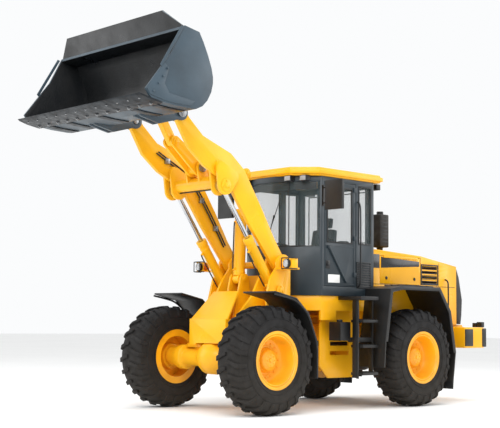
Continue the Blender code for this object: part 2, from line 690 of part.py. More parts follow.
def build_bucket(holder, pins):
    path = bucket_path()
    wrap = plate(strip(path, -0.025), -BUCKET_HALF, BUCKET_HALF)
    side = path + [(3.378, 4.999), (3.58, 4.62), (3.987, 4.103), (3.93, 4.026)]
    walls = both(plate(side, BUCKET_HALF - 0.03, BUCKET_HALF))
    brow = [(3.120, 4.930), (3.132, 4.956), (3.378, 4.999), (3.39, 4.96), (3.15, 4.91)]
    header = plate(brow, -BUCKET_HALF, BUCKET_HALF)
    guard = spill_guard()
    ear = [(3.46, 3.958), (3.44, 3.93), (3.115, 3.868)] + ring(BUCKET_PIN, 0.11, 11, 290, 90)
    ear += [(2.90, 4.394), (2.93, 4.205), (2.99, 4.10), (3.07, 4.012), (3.17, 3.962)]
    ears = both(plate(ear, 0.425, 0.46), plate(ear, 0.54, 0.575))
    horn = ring(LINK_PIN, 0.07, 9, 250, 100) + [(2.983, 4.65), (2.925, 4.51), (2.90, 4.40)]
    horn += [(2.902, 4.32), (2.925, 4.215)]
    horns = both(plate(horn, 0.060, 0.090))
    cuts = [disc(BUCKET_PIN, 0.049, -0.7, 0.7, 16), disc(LINK_PIN, 0.036, -0.2, 0.2, 16)]
    node("bucket_shell", holder, "slate", [wrap, header, guard] + walls + ears + horns, cuts)
    node("cutting_edge", holder, "black", [plate(lip_outline(), -BUCKET_HALF, BUCKET_HALF)])
    for name, low in (("left", 0.415), ("right", -0.585)):
        pin = rod((BUCKET_PIN[0], low, BUCKET_PIN[1]), (BUCKET_PIN[0], low + 0.17, BUCKET_PIN[1]), 0.044, 16)
        node("bucket_pin_" + name, pins, "steel", [pin])


def lip_outline():
    """The bolted edge under the front of the floor; it ends in the sharp lip."""
    return [(3.72, 3.9696), (3.72, 3.945), (3.92, 3.975), (4.05, 4.012), (TIP_X, 4.035), (3.8999, 3.9984)]


def spill_guard():
    """The centre part of the bucket's top edge, which leans forward and narrows upwards."""
    base = [(3.330, 4.985), (3.378, 4.999)]
    crest = [(3.485, 5.235), (3.51, 5.225)]
    points = []
    for sign in (-1, 1):
        points += [(x, sign * 1.34, z) for x, z in base] + [(x, sign * 1.055, z) for x, z in crest]
    faces = [(0, 1, 3, 2), (4, 6, 7, 5), (0, 4, 5, 1), (2, 3, 7, 6), (0, 2, 6, 4), (1, 5, 7, 3)]
    return points, faces


def aim(base, tip):
    direction = Vector((tip[0] - base[0], 0, tip[1] - base[1]))
    return direction.normalized(), direction.length


def at(base, direction, distance, y=0.0):
    return (base[0] + direction.x * distance, y, base[1] + direction.z * distance)


def build_lift_cylinders(front):
    for side, y in (("left", 0.5), ("right", -0.5)):
        barrel_holder = body("lift_barrel_%s_pin" % side, (LIFT_BASE[0], y, LIFT_BASE[1]), front)
        along, length = aim(LIFT_BASE, LIFT_TOP)
        tube = rod(at(LIFT_BASE, along, 0.075, y), at(LIFT_BASE, along, 0.86, y), 0.07, 16)
        gland = rod(at(LIFT_BASE, along, 0.82, y), at(LIFT_BASE, along, 0.90, y), 0.078, 16)
        eye = disc(LIFT_BASE, 0.085, y - 0.07, y + 0.07, 16)
        cuts = [disc(LIFT_BASE, 0.044, y - 0.1, y + 0.1, 16)]
        cuts += [rod(at(LIFT_BASE, along, 0.14, y), at(LIFT_BASE, along, 1.1, y), 0.0405, 16)]
        node("lift_barrel_" + side, barrel_holder, "boom_yellow", [eye, tube, gland], cuts)
        rod_holder = body("lift_rod_%s_eye" % side, (LIFT_TOP[0], y, LIFT_TOP[1]), barrel_holder)
        shaft = rod(at(LIFT_BASE, along, 0.76, y), at(LIFT_BASE, along, length - 0.05, y), 0.036, 16)
        end = disc(LIFT_TOP, 0.085, y - 0.045, y + 0.045, 16)
        node("lift_rod_" + side, rod_holder, "chrome", [shaft, end], [disc(LIFT_TOP, 0.035, y - 0.1, y + 0.1)])


def build_tilt_cylinder(front):
    holder = body("tilt_barrel_pin", (TILT_BASE[0], 0, TILT_BASE[1]), front)
    along, length = aim(TILT_BASE, CRANK_TOP)
    tube = rod(at(TILT_BASE, along, 0.055), at(TILT_BASE, along, 0.97), 0.085, 16)
    gland = rod(at(TILT_BASE, along, 0.92), at(TILT_BASE, along, 1.02), 0.095, 16)
    eye = disc(TILT_BASE, 0.075, -0.06, 0.06, 16)
    bore = rod(at(TILT_BASE, along, 0.14), at(TILT_BASE, along, 1.1), 0.0455, 16)
    node("tilt_barrel", holder, "boom_yellow", [tube, gland, eye],
         [disc(TILT_BASE, 0.039, -0.2, 0.2, 16), bore])
    rod_holder = body("tilt_rod_eye", (CRANK_TOP[0], 0, CRANK_TOP[1]), holder)
    shaft = rod(at(TILT_BASE, along, 0.85), at(TILT_BASE, along, length - 0.05), 0.041, 16)
    end = disc(CRANK_TOP, 0.08, -0.045, 0.045, 16)
    node("tilt_rod", rod_holder, "chrome", [shaft, end], [disc(CRANK_TOP, 0.035, -0.1, 0.1)])


def build_steering_cylinders(root):
    for side, sign in (("left", 1), ("right", -1)):
        base = Vector((STEER_BASE[0], sign * STEER_BASE[1], STEER_Z))
        tip = Vector((STEER_EYE[0], sign * STEER_EYE[1], STEER_Z))
        along = (tip - base).normalized()
        reach = (tip - base).length
        holder = body("steer_barrel_%s_pin" % side, tuple(base), root)
        tube = rod(base + along * 0.05, base + along * 0.68, 0.042)
        eye = rod(base - Vector((0, 0, 0.03)), base + Vector((0, 0, 0.03)), 0.055, 16)
        hole = rod(base - Vector((0, 0, 0.1)), base + Vector((0, 0, 0.1)), 0.034, 16)
        bore = rod(base + along * 0.10, base + along * 0.8, 0.0245)
        node("steer_barrel_" + side, holder, "black", [tube, eye], [hole, bore])
        rod_holder = body("steer_rod_%s_eye" % side, tuple(tip), holder)
        shaft = rod(base + along * 0.45, tip - along * 0.03, 0.021)
        end = rod(tip - Vector((0, 0, 0.02)), tip + Vector((0, 0, 0.02)), 0.045, 16)
        node("steer_rod_" + side, rod_holder, "chrome", [shaft, end])


def main():
    clear_scene()
    root = body("loader", (0, 0, 0))
    build_rear_frame(root)
    axle("rear_axle", root, AXLE_R)
    build_counterweight(root)
    build_hood(root)
    build_hood_doors(root)
    build_grille_door(root)
    build_engine(root)
    build_exhaust(root)
    build_cab(root)
    build_roof(root)
    build_glass(root)
    build_door(root)
    build_interior(root)
    build_rear_fenders(root)
    build_ladders(root)
    build_mirrors(root)
    build_steering_cylinders(root)
    front = body("articulation_pivot", (0, 0, 0), root)
    build_front_frame(front)
    axle("front_axle", front, AXLE_F)
    build_front_fenders(front)
    half = TRACK / 2
    build_wheel("front_left", AXLE_F, half, front)
    build_wheel("front_right", AXLE_F, -half, front)
    build_wheel("rear_left", AXLE_R, half, root)
    build_wheel("rear_right", AXLE_R, -half, root)
    build_lift_cylinders(front)
    build_tilt_cylinder(front)
    boom = body("boom_pivot", (BOOM_PIN[0], 0, BOOM_PIN[1]), front)
    build_boom(boom)
    crank_pin = body("bellcrank_pivot", (CRANK_PIN[0], 0, CRANK_PIN[1]), boom)
    build_crank(body("bellcrank_swing", (CRANK_PIN[0], 0, CRANK_PIN[1]), crank_pin), crank_pin)
    pins = body("bucket_pivot", (BUCKET_PIN[0], 0, BUCKET_PIN[1]), boom)
    bucket = body("bucket_swing", (BUCKET_PIN[0], 0, BUCKET_PIN[1]), pins)
    build_bucket(bucket, pins)
    link_pin = body("link_pivot", (LINK_PIN[0], 0, LINK_PIN[1]), bucket)
    build_link(body("link_swing", (LINK_PIN[0], 0, LINK_PIN[1]), link_pin), link_pin)


main()
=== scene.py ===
import json
import math

import bpy
from mathutils import Matrix, Vector

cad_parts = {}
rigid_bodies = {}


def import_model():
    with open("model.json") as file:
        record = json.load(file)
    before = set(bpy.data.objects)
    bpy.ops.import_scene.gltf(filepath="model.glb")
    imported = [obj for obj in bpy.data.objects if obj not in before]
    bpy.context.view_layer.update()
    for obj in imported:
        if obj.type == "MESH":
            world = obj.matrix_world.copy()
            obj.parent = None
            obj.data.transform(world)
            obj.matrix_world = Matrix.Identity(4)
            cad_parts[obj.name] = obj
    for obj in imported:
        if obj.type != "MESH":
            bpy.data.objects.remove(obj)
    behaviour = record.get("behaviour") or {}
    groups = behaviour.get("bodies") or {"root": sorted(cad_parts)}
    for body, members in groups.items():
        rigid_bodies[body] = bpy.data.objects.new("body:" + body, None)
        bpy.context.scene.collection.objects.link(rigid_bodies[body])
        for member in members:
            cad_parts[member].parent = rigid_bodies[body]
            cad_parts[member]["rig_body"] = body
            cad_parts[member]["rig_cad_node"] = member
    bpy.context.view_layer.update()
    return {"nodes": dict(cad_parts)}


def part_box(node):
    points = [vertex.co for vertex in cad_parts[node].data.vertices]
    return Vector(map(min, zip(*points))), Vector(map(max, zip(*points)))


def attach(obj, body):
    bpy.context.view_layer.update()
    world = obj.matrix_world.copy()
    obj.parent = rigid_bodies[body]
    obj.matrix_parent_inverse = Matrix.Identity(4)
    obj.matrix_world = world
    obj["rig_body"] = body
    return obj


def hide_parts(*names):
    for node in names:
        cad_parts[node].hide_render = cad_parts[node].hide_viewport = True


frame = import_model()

bl_info = {
    "name": "Wheel loader dresser",
    "version": (1, 0, 0),
    "blender": (4, 5, 0),
    "location": "View3D > Sidebar > Loader",
    "description": "Models and finishes an articulated wheel loader around its CAD frame",
    "category": "Object",
}

SIDES = ((1, "left"), (-1, "right"))
TYRES = {end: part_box("tyre_%s_left" % end) for end in ("front", "rear")}
HITCH_X = sum((low.x + high.x) / 4 for low, high in TYRES.values())
TYRE_RADIUS = TYRES["front"][1].z / 2
SMOOTH_ANGLE = math.radians(35)

# Pin centres of the working linkage, along the machine from the hitch, and up.
BOOM_PIN = (0.80, 2.10)
BUCKET_PIN = (2.74, 4.07)
CRANK_PIN = (1.988, 3.430)
TILT_BASE = (1.113, 1.886)
CRANK_TOP = (1.0625, 3.440)
CRANK_FOOT = (2.432, 3.759)
LINK_PIN = (2.812, 4.350)
LIFT_BASE = (0.90, 1.72)
LIFT_TOP = (1.93, 3.15)


# Colours and nodes


def linear(hex_colour):
    """An sRGB hex colour as the linear values that Blender's sockets take."""
    parts = [int(hex_colour[i : i + 2], 16) / 255 for i in (1, 3, 5)]
    return [c / 12.92 if c <= 0.04045 else ((c + 0.055) / 1.055) ** 2.4 for c in parts] + [1.0]


def add_node(tree, kind, settings=(), links=()):
    """Adds one node; a key that names or counts an input sets that input, any other key an attribute."""
    node = tree.nodes.new(kind)
    for key, value in dict(settings).items():
        if isinstance(key, int) or key in node.inputs:
            node.inputs[key].default_value = value
        else:
            setattr(node, key, value)
    for key, socket in dict(links).items():
        tree.links.new(socket, node.inputs[key])
    return node


def grain(millimetres):
    """The Scale of a noise or wave node whose features are this wide."""
    return 1000.0 / millimetres


def mixed(tree, factor, first, second):
    """A colour mix; first and second are colours or sockets."""
    settings = {"data_type": "RGBA", "clamp_factor": True}
    links = {0: factor}
    for index, value in ((6, first), (7, second)):
        if isinstance(value, bpy.types.NodeSocket):
            links[index] = value
        else:
            settings[index] = value
    return add_node(tree, "ShaderNodeMix", settings, links).outputs[2]


def ranged(tree, value, low, high, out_low=0.0, out_high=1.0):
    settings = {"From Min": low, "From Max": high, "To Min": out_low, "To Max": out_high}
    return add_node(tree, "ShaderNodeMapRange", settings, {"Value": value}).outputs["Result"]


def surface(name, colour, shader, mottle=0.08, patch_mm=400, grit_mm=6, grit=0.05, grime=None,
            rough_swing=0.08):
    """A finish with slow patches of colour, a fine relief, uneven gloss and, where given, low grime.

    grime is (colour, full below this height, gone above this height, most)."""
    made = bpy.data.materials.new(name)
    made.use_nodes = True
    tree = made.node_tree
    tree.nodes.clear()
    coords = add_node(tree, "ShaderNodeTexCoord").outputs["Object"]
    patch = add_node(tree, "ShaderNodeTexNoise", {"Scale": grain(patch_mm), "Detail": 5.0},
                     {"Vector": coords})
    dark = [c * (1 - mottle * 2.2) for c in colour[:3]] + [1.0]
    light = [min(1.0, c * (1 + mottle)) for c in colour[:3]] + [1.0]
    spread = ranged(tree, patch.outputs["Fac"], 0.35, 0.68)
    shade = mixed(tree, spread, light, dark)
    fine = add_node(tree, "ShaderNodeTexNoise", {"Scale": grain(grit_mm), "Detail": 3.0},
                    {"Vector": coords})
    if grime:
        tint, full, gone, most = grime
        height = add_node(tree, "ShaderNodeSeparateXYZ", links={"Vector": coords}).outputs["Z"]
        low = ranged(tree, height, full, gone, most, 0.0)
        speck = ranged(tree, fine.outputs["Fac"], 0.3, 0.7, 0.55, 1.0)
        amount = add_node(tree, "ShaderNodeMath", {"operation": "MULTIPLY"}, {0: low, 1: speck}).outputs[0]
        shade = mixed(tree, amount, shade, tint)
    rough = shader.pop("Roughness")
    gloss = ranged(tree, patch.outputs["Fac"], 0.3, 0.7, rough - rough_swing, rough + rough_swing)
    relief = add_node(
        tree, "ShaderNodeBump", {"Strength": grit, "Distance": 0.001 * grit_mm},
        {"Height": fine.outputs["Fac"]}
    )
    links = {"Base Color": shade, "Roughness": gloss, "Normal": relief.outputs["Normal"]}
    body = add_node(tree, "ShaderNodeBsdfPrincipled", shader, links)
    add_node(tree, "ShaderNodeOutputMaterial", links={"Surface": body.outputs["BSDF"]})
    return made


DUST = linear("#8A7B62")


def make_finishes():
    """Every finish of the loader, by the name of the real one."""
    paint = bpy.context.scene.loader_paint
    done = {}
    # Two-part polyurethane enamel, sprayed: deep yellow, a wet gloss, slight orange peel, a little dust.
    enamel = {"Roughness": 0.34, "Coat Weight": 0.10, "Coat Roughness": 0.10, "Specular IOR Level": 0.3}
    done["enamel"] = surface("sprayed_enamel_yellow", list(paint.body) + [1.0], dict(enamel),
                             mottle=0.04, patch_mm=700, grit_mm=14, grit=0.035,
                             grime=(DUST, 0.3, 1.35, 0.10))
    # The same enamel on the arms in a slightly warmer, lighter batch.
    done["arm_enamel"] = surface("sprayed_enamel_arm_yellow", list(paint.arms) + [1.0], dict(enamel),
                                 mottle=0.045, patch_mm=600, grit_mm=14, grit=0.035)
    # Enamel on the cast and pressed wheels: it sits in shade and picks up road dust, so it looks duller.
    done["wheel_enamel"] = surface("sprayed_enamel_wheels", list(paint.wheels) + [1.0],
                                   {"Roughness": 0.42, "Coat Weight": 0.15, "Coat Roughness": 0.3,
                                    "IOR": 1.5},
                                   mottle=0.07, patch_mm=260, grit_mm=10, grit=0.06,
                                   grime=(DUST, 0.0, 1.3, 0.10))
    # Primer-thick slate paint on rolled plate: eggshell sheen, faint roller waves.
    done["bucket_paint"] = surface("eggshell_paint_slate", list(paint.bucket) + [1.0],
                                   {"Roughness": 0.44, "IOR": 1.5, "Coat Weight": 0.1,
                                    "Coat Roughness": 0.35},
                                   mottle=0.12, patch_mm=500, grit_mm=12, grit=0.08)
    # The bowl's paint, polished and blackened by the loads that slide over it.
    done["bowl"] = surface("load_polished_black_plate", linear("#0D1013"), {"Roughness": 0.40, "IOR": 1.5},
                           mottle=0.25, patch_mm=350, grit_mm=16, grit=0.15, rough_swing=0.14)
    # Abrasion-resistant plate: dark rolled steel, scale left on, edges bare.
    done["wear_plate"] = surface("rolled_wear_steel", linear("#23282D"),
                                 {"Roughness": 0.46, "Metallic": 0.55},
                                 mottle=0.2, patch_mm=90, grit_mm=5, grit=0.14, rough_swing=0.12)
    # Powder coat on the cab's pressed steel posts: fine-grained, satin, blue-grey.
    done["cab_coat"] = surface("powder_coat_blue_grey", list(paint.cab) + [1.0],
                               {"Roughness": 0.40, "IOR": 1.5},
                               mottle=0.07, patch_mm=300, grit_mm=4, grit=0.10)
    # Satin black chassis paint for steps, guards and brackets.
    done["chassis_black"] = surface("chassis_paint_black", linear("#0E0F10"),
                                    {"Roughness": 0.45, "IOR": 1.5},
                                    mottle=0.16, patch_mm=220, grit_mm=7, grit=0.10,
                                    grime=(DUST, 0.2, 1.2, 0.06))
    # Injection-moulded polyethylene fenders: leathery grain, a soft broad sheen, dust in the grain.
    done["moulded_black"] = surface("moulded_polyethylene_black", linear("#0F1011"),
                                    {"Roughness": 0.50, "IOR": 1.5},
                                    mottle=0.10, patch_mm=240, grit_mm=5, grit=0.16,
                                    grime=(DUST, 0.3, 1.5, 0.05))
    # Carbon-black tyre rubber: charcoal, chalky where it has weathered, dusty near the ground.
    done["tyre"] = surface("vulcanised_rubber_tyre", list(paint.tyres) + [1.0],
                           {"Roughness": 0.78, "Specular IOR Level": 0.3},
                           mottle=0.16, patch_mm=120, grit_mm=6, grit=0.22, grime=(DUST, 0.0, 1.5, 0.09))
    # Extruded EPDM for seals, hoses and flaps: deep matt black with a slight bloom.
    done["epdm"] = surface("extruded_rubber_black", linear("#101112"), {"Roughness": 0.58, "IOR": 1.52},
                           mottle=0.12, patch_mm=80, grit_mm=4, grit=0.10)
    # Hard chrome on ground rod: a clean mirror with the faintest oil haze.
    done["chrome"] = surface("hard_chrome_rod", linear("#C9CDD2"), {"Roughness": 0.14, "Metallic": 1.0},
                             mottle=0.04, patch_mm=160, grit_mm=3, grit=0.01, rough_swing=0.05)
    # Zinc-plated pins and bolts: pale grey metal, slightly cloudy.
    done["zinc"] = surface("zinc_plated_steel", linear("#9A9C9E"), {"Roughness": 0.34, "Metallic": 1.0},
                           mottle=0.12, patch_mm=30, grit_mm=3, grit=0.05)
    # Cast iron of the engine and axles, painted grey, oily and dull.
    done["casting"] = surface("cast_iron_grey", linear("#3A3C3E"), {"Roughness": 0.55, "Metallic": 0.3},
                              mottle=0.2, patch_mm=90, grit_mm=4, grit=0.25, grime=(DUST, 0.2, 1.2, 0.25))
    # Aluminised exhaust steel, browned by heat.
    done["exhaust"] = surface("heat_browned_steel", linear("#2A2724"), {"Roughness": 0.52, "Metallic": 0.4},
                              mottle=0.22, patch_mm=120, grit_mm=6, grit=0.12)
    # Plain blank label stock, matt white vinyl.
    done["blank_label"] = surface("blank_vinyl_white", linear("#E6E7E4"), {"Roughness": 0.36, "IOR": 1.5},
                                  mottle=0.03, patch_mm=120, grit_mm=4, grit=0.01)
    # Gloss black vinyl band along the hood, left blank.
    done["band"] = surface("blank_vinyl_black", linear("#141517"), {"Roughness": 0.26, "IOR": 1.5},
                           mottle=0.06, patch_mm=300, grit_mm=8, grit=0.015)
    # Polycarbonate lenses: clear, amber and red, each over a bright bowl.
    done["lens"] = lens("lens_polycarbonate_clear", linear("#F2F4F5"), 0.55)
    done["amber"] = lens("lens_acrylic_amber", linear("#E8740C"), 0.35)
    done["red"] = lens("lens_acrylic_red", linear("#A8120F"), 0.35)
    done["bowl_bright"] = surface("vacuum_metallised_bowl", linear("#DADDE0"),
                                  {"Roughness": 0.10, "Metallic": 1.0},
                                  mottle=0.02, patch_mm=20, grit_mm=4, grit=0.02, rough_swing=0.04)
    done["mirror"] = surface("silvered_mirror", linear("#E4E8EA"), {"Roughness": 0.04, "Metallic": 1.0},
                             mottle=0.01, patch_mm=200, grit_mm=10, grit=0.0, rough_swing=0.01)
    done["glass"] = tinted_glass()
    done["seat_cloth"] = seat_cloth()
    done["fins"] = radiator_fins()
    return done


def lens(name, colour, through):
    """A moulded lens: coloured, glossy, with the ribs that spread its light as a ripple in the relief."""
    made = bpy.data.materials.new(name)
    made.use_nodes = True
    tree = made.node_tree
    tree.nodes.clear()
    coords = add_node(tree, "ShaderNodeTexCoord").outputs["Object"]
    settings = {"wave_type": "BANDS", "bands_direction": "Z", "Scale": grain(60), "Distortion": 0.0}
    ribs = add_node(tree, "ShaderNodeTexWave", settings, {"Vector": coords})
    relief = add_node(tree, "ShaderNodeBump", {"Strength": 0.35, "Distance": 0.003},
                      {"Height": ribs.outputs["Fac"]})
    deep = [c * 0.7 for c in colour[:3]] + [1.0]
    shade = mixed(tree, ribs.outputs["Fac"], deep, colour)
    settings = {"Roughness": 0.08, "Transmission Weight": through, "IOR": 1.49}
    links = {"Base Color": shade, "Normal": relief.outputs["Normal"]}
    body = add_node(tree, "ShaderNodeBsdfPrincipled", settings, links)
    add_node(tree, "ShaderNodeOutputMaterial", links={"Surface": body.outputs["BSDF"]})
    return made


def tinted_glass():
    """Toughened safety glass, grey-green: clear to look through, sharp reflections, a film of dust."""
    made = bpy.data.materials.new("toughened_glass_tinted")
    made.use_nodes = True
    tree = made.node_tree
    tree.nodes.clear()
    coords = add_node(tree, "ShaderNodeTexCoord").outputs["Object"]
    film = add_node(tree, "ShaderNodeTexNoise", {"Scale": grain(250), "Detail": 4.0}, {"Vector": coords})
    shade = mixed(tree, ranged(tree, film.outputs["Fac"], 0.4, 0.75), linear("#4F6062"), linear("#6A7878"))
    gloss = ranged(tree, film.outputs["Fac"], 0.35, 0.7, 0.015, 0.06)
    settings = {"Transmission Weight": 0.0, "IOR": 1.52, "Alpha": 0.14, "Specular IOR Level": 0.5}
    body = add_node(tree, "ShaderNodeBsdfPrincipled", settings, {"Base Color": shade, "Roughness": gloss})
    add_node(tree, "ShaderNodeOutputMaterial", links={"Surface": body.outputs["BSDF"]})
    return made


def seat_cloth():
    """Woven polyester seat cloth: charcoal threads, drawn 20 mm wide so that the weave can show."""
    made = bpy.data.materials.new("woven_polyester_charcoal")
    made.use_nodes = True
    tree = made.node_tree
    tree.nodes.clear()
    coords = add_node(tree, "ShaderNodeTexCoord").outputs["Object"]
    across = add_node(tree, "ShaderNodeTexWave", {"bands_direction": "Y", "Scale": grain(20)},
                      {"Vector": coords})
    along = add_node(tree, "ShaderNodeTexWave", {"bands_direction": "Z", "Scale": grain(20)},
                     {"Vector": coords})
    settings = {"operation": "MAXIMUM"}
    weave = add_node(tree, "ShaderNodeMath", settings,
                     {0: across.outputs["Fac"], 1: along.outputs["Fac"]}).outputs[0]
    relief = add_node(tree, "ShaderNodeBump", {"Strength": 0.4, "Distance": 0.002}, {"Height": weave})
    shade = mixed(tree, weave, linear("#1B1C1F"), linear("#34363A"))
    settings = {"Roughness": 0.85, "Sheen Weight": 0.35, "Sheen Roughness": 0.5}
    links = {"Base Color": shade, "Normal": relief.outputs["Normal"]}
    body = add_node(tree, "ShaderNodeBsdfPrincipled", settings, links)
    add_node(tree, "ShaderNodeOutputMaterial", links={"Surface": body.outputs["BSDF"]})
    return made


def radiator_fins():
    """A cooler core: stacked aluminium fins painted black, pitch drawn at 24 mm so the rows can show."""
    made = bpy.data.materials.new("cooler_core_black")
    made.use_nodes = True
    tree = made.node_tree
    tree.nodes.clear()
    coords = add_node(tree, "ShaderNodeTexCoord").outputs["Object"]
    rows = add_node(tree, "ShaderNodeTexWave", {"bands_direction": "Z", "Scale": grain(75)},
                    {"Vector": coords})
    relief = add_node(tree, "ShaderNodeBump", {"Strength": 0.6, "Distance": 0.004},
                      {"Height": rows.outputs["Fac"]})
    shade = mixed(tree, rows.outputs["Fac"], linear("#060607"), linear("#2A2C2E"))
    settings = {"Roughness": 0.5, "Metallic": 0.5}
    links = {"Base Color": shade, "Normal": relief.outputs["Normal"]}
    body = add_node(tree, "ShaderNodeBsdfPrincipled", settings, links)
    add_node(tree, "ShaderNodeOutputMaterial", links={"Surface": body.outputs["BSDF"]})
    return made


FINISHES = {}


# Modelling tools


def at(x, y, z):
    """A point from its distance ahead of the hitch, to the left and up."""
    return Vector((x + HITCH_X, y, z))


def only(obj):
    bpy.ops.object.select_all(action="DESELECT")
    obj.select_set(True)
    bpy.context.view_layer.objects.active = obj


def settle(obj):
    """Puts the object's place and turn into its mesh."""
    only(obj)
    bpy.ops.object.transform_apply(location=True, rotation=True, scale=True)
    return obj


def apply_all(obj):
    only(obj)
    for modifier in list(obj.modifiers):
        bpy.ops.object.modifier_apply(modifier=modifier.name)
    return obj


def softened(obj, width, segments=2, angle=32):
    """Rounds the sharp edges by this width, as paint and a grinder leave them."""
    if width > 0:
        round_off = obj.modifiers.new("edge", "BEVEL")
        round_off.width = width
        round_off.segments = segments
        round_off.limit_method = "ANGLE"
        round_off.angle_limit = math.radians(angle)
        apply_all(obj)
    only(obj)
    bpy.ops.object.shade_smooth_by_angle(angle=SMOOTH_ANGLE)
    return obj


def block(low, high, edge=0.004, segments=2):
    """A machined or folded block between two corners."""
    bpy.ops.object.select_all(action="DESELECT")
    low, high = Vector(low), Vector(high)
    bpy.ops.mesh.primitive_cube_add(size=1, location=(low + high) / 2, scale=high - low)
    return softened(settle(bpy.context.active_object), edge, segments)


def bar(start, end, radius, sides=20, edge=0.003):
    """A round bar or disc between two points."""
    bpy.ops.object.select_all(action="DESELECT")
    start, end = Vector(start), Vector(end)
    run = end - start
    bpy.ops.mesh.primitive_cylinder_add(
        vertices=sides, radius=radius, depth=run.length, location=(start + end) / 2,
        rotation=run.to_track_quat("Z", "Y").to_euler(),
    )
    return softened(settle(bpy.context.active_object), edge, 2, 50)


def across(centre, low, high, radius, sides=24, edge=0.004):
    """A disc or pin that lies across the machine; centre is (ahead, up)."""
    return bar(at(centre[0], low, centre[1]), at(centre[0], high, centre[1]), radius, sides, edge)


def cut_plate(outline, low, high, plane="XZ", edge=0.003):
    """A plate flame-cut to an outline and as thick as low to high along the third axis."""
    bpy.ops.object.select_all(action="DESELECT")
    bpy.ops.mesh.primitive_circle_add(vertices=len(outline), radius=1.0, fill_type="NGON")
    obj = bpy.context.active_object
    order = {"XZ": (0, 2, 1), "XY": (0, 1, 2), "YZ": (1, 2, 0)}[plane]
    for vertex, point in zip(obj.data.vertices, outline):
        vertex.co[order[0]] = point[0] + (HITCH_X if order[0] == 0 else 0.0)
        vertex.co[order[1]] = point[1]
        vertex.co[order[2]] = low + (HITCH_X if order[2] == 0 else 0.0)
    move = [0.0, 0.0, 0.0]
    move[order[2]] = high - low
    only(obj)
    bpy.ops.object.mode_set(mode="EDIT")
    bpy.ops.mesh.select_all(action="SELECT")
    bpy.ops.mesh.extrude_region_move(TRANSFORM_OT_translate={"value": move})
    bpy.ops.mesh.select_all(action="SELECT")
    bpy.ops.mesh.normals_make_consistent(inside=False)
    bpy.ops.object.mode_set(mode="OBJECT")
    return softened(obj, edge)


def spun(profile, centre, steps=72, edge=0.0, axis=(0, 1, 0)):
    """A turned piece: profile is a closed loop of (radius, distance along the axis), round the Y axis."""
    bpy.ops.object.select_all(action="DESELECT")
    bpy.ops.mesh.primitive_circle_add(vertices=len(profile), radius=1.0, fill_type="NOTHING")
    obj = bpy.context.active_object
    for vertex, (radius, along) in zip(obj.data.vertices, profile):
        vertex.co = (centre[0], centre[1] + along, centre[2] + radius)
    only(obj)
    bpy.ops.object.mode_set(mode="EDIT")
    bpy.ops.mesh.select_all(action="SELECT")
    bpy.ops.mesh.spin(steps=steps, angle=2 * math.pi, center=centre, axis=axis)
    bpy.ops.mesh.select_all(action="SELECT")
    bpy.ops.mesh.remove_doubles(threshold=0.00005)
    bpy.ops.mesh.select_all(action="SELECT")
    bpy.ops.mesh.normals_make_consistent(inside=False)
    bpy.ops.object.mode_set(mode="OBJECT")
    return softened(obj, edge)


def repeated(obj, count, centre, axis=(0, 1, 0)):
    """Copies the mesh round an axis until there are count of it."""
    only(obj)
    bpy.ops.object.mode_set(mode="EDIT")
    bpy.ops.mesh.select_all(action="SELECT")
    turn = 2 * math.pi * (count - 1) / count
    bpy.ops.mesh.spin(steps=count - 1, angle=turn, dupli=True, center=centre, axis=axis,
                      use_auto_merge=False)
    bpy.ops.object.mode_set(mode="OBJECT")
    return obj


def copied(obj, shift=(0, 0, 0), mirror=False):
    """A copy with its own mesh, moved, and mirrored to the machine's other side where asked."""
    only(obj)
    bpy.ops.object.duplicate(linked=False)
    twin = bpy.context.active_object
    if mirror:
        twin.data.transform(Matrix.Scale(-1, 4, (0, 1, 0)))
        twin.data.flip_normals()
    twin.data.transform(Matrix.Translation(Vector(shift)))
    only(twin)
    bpy.ops.object.shade_smooth_by_angle(angle=SMOOTH_ANGLE)
    return twin


def joined(objs):
    objs = list(objs)
    bpy.ops.object.select_all(action="DESELECT")
    for obj in objs:
        obj.select_set(True)
    bpy.context.view_layer.objects.active = objs[0]
    if len(objs) > 1:
        bpy.ops.object.join()
    return bpy.context.active_object


def both_sides(make):
    """Calls make(sign) for the left and the right side and gathers what it returns."""
    gathered = []
    for sign, _ in SIDES:
        made = make(sign)
        gathered += made if isinstance(made, list) else [made]
    return gathered


def side_plate(outline, low, high, sign, edge):
    """A plate whose outline is (out, up) on the left side, turned over for the right."""
    plate = cut_plate(outline, low, high, "YZ", edge)
    if sign < 0:
        plate.data.transform(Matrix.Scale(-1, 4, (0, 1, 0)))
        plate.data.flip_normals()
    return plate


def ordered(first, second):
    return (first, second) if first < second else (second, first)


def side_block(x0, x1, y0, y1, z0, z1, sign, edge=0.004):
    low, high = ordered(sign * y0, sign * y1)
    return block(at(x0, low, z0), at(x1, high, z1), edge)


def tube(points, radius, sides=3):
    """A bent pipe or hose through these points, its ends capped."""
    bpy.ops.object.select_all(action="DESELECT")
    bpy.ops.curve.primitive_nurbs_path_add()
    obj = bpy.context.active_object
    path = obj.data.splines[0]
    path.points.add(max(0, len(points) - len(path.points)))
    while len(path.points) > len(points):
        points = list(points) + [Vector(points[-1]) + (Vector(points[-1]) - Vector(points[-2])) * 0.01]
    for point, place in zip(path.points, points):
        point.co = (*place, 1.0)
    path.order_u = 3
    path.use_endpoint_u = True
    path.resolution_u = 5
    obj.data.bevel_depth = radius
    obj.data.bevel_resolution = sides
    obj.data.use_fill_caps = True
    only(obj)
    bpy.ops.object.convert(target="MESH")
    obj = settle(bpy.context.active_object)
    only(obj)
    bpy.ops.object.mode_set(mode="EDIT")
    bpy.ops.mesh.select_all(action="SELECT")
    bpy.ops.mesh.remove_doubles(threshold=0.00005)
    bpy.ops.mesh.normals_make_consistent(inside=False)
    bpy.ops.object.mode_set(mode="OBJECT")
    return softened(obj, 0)


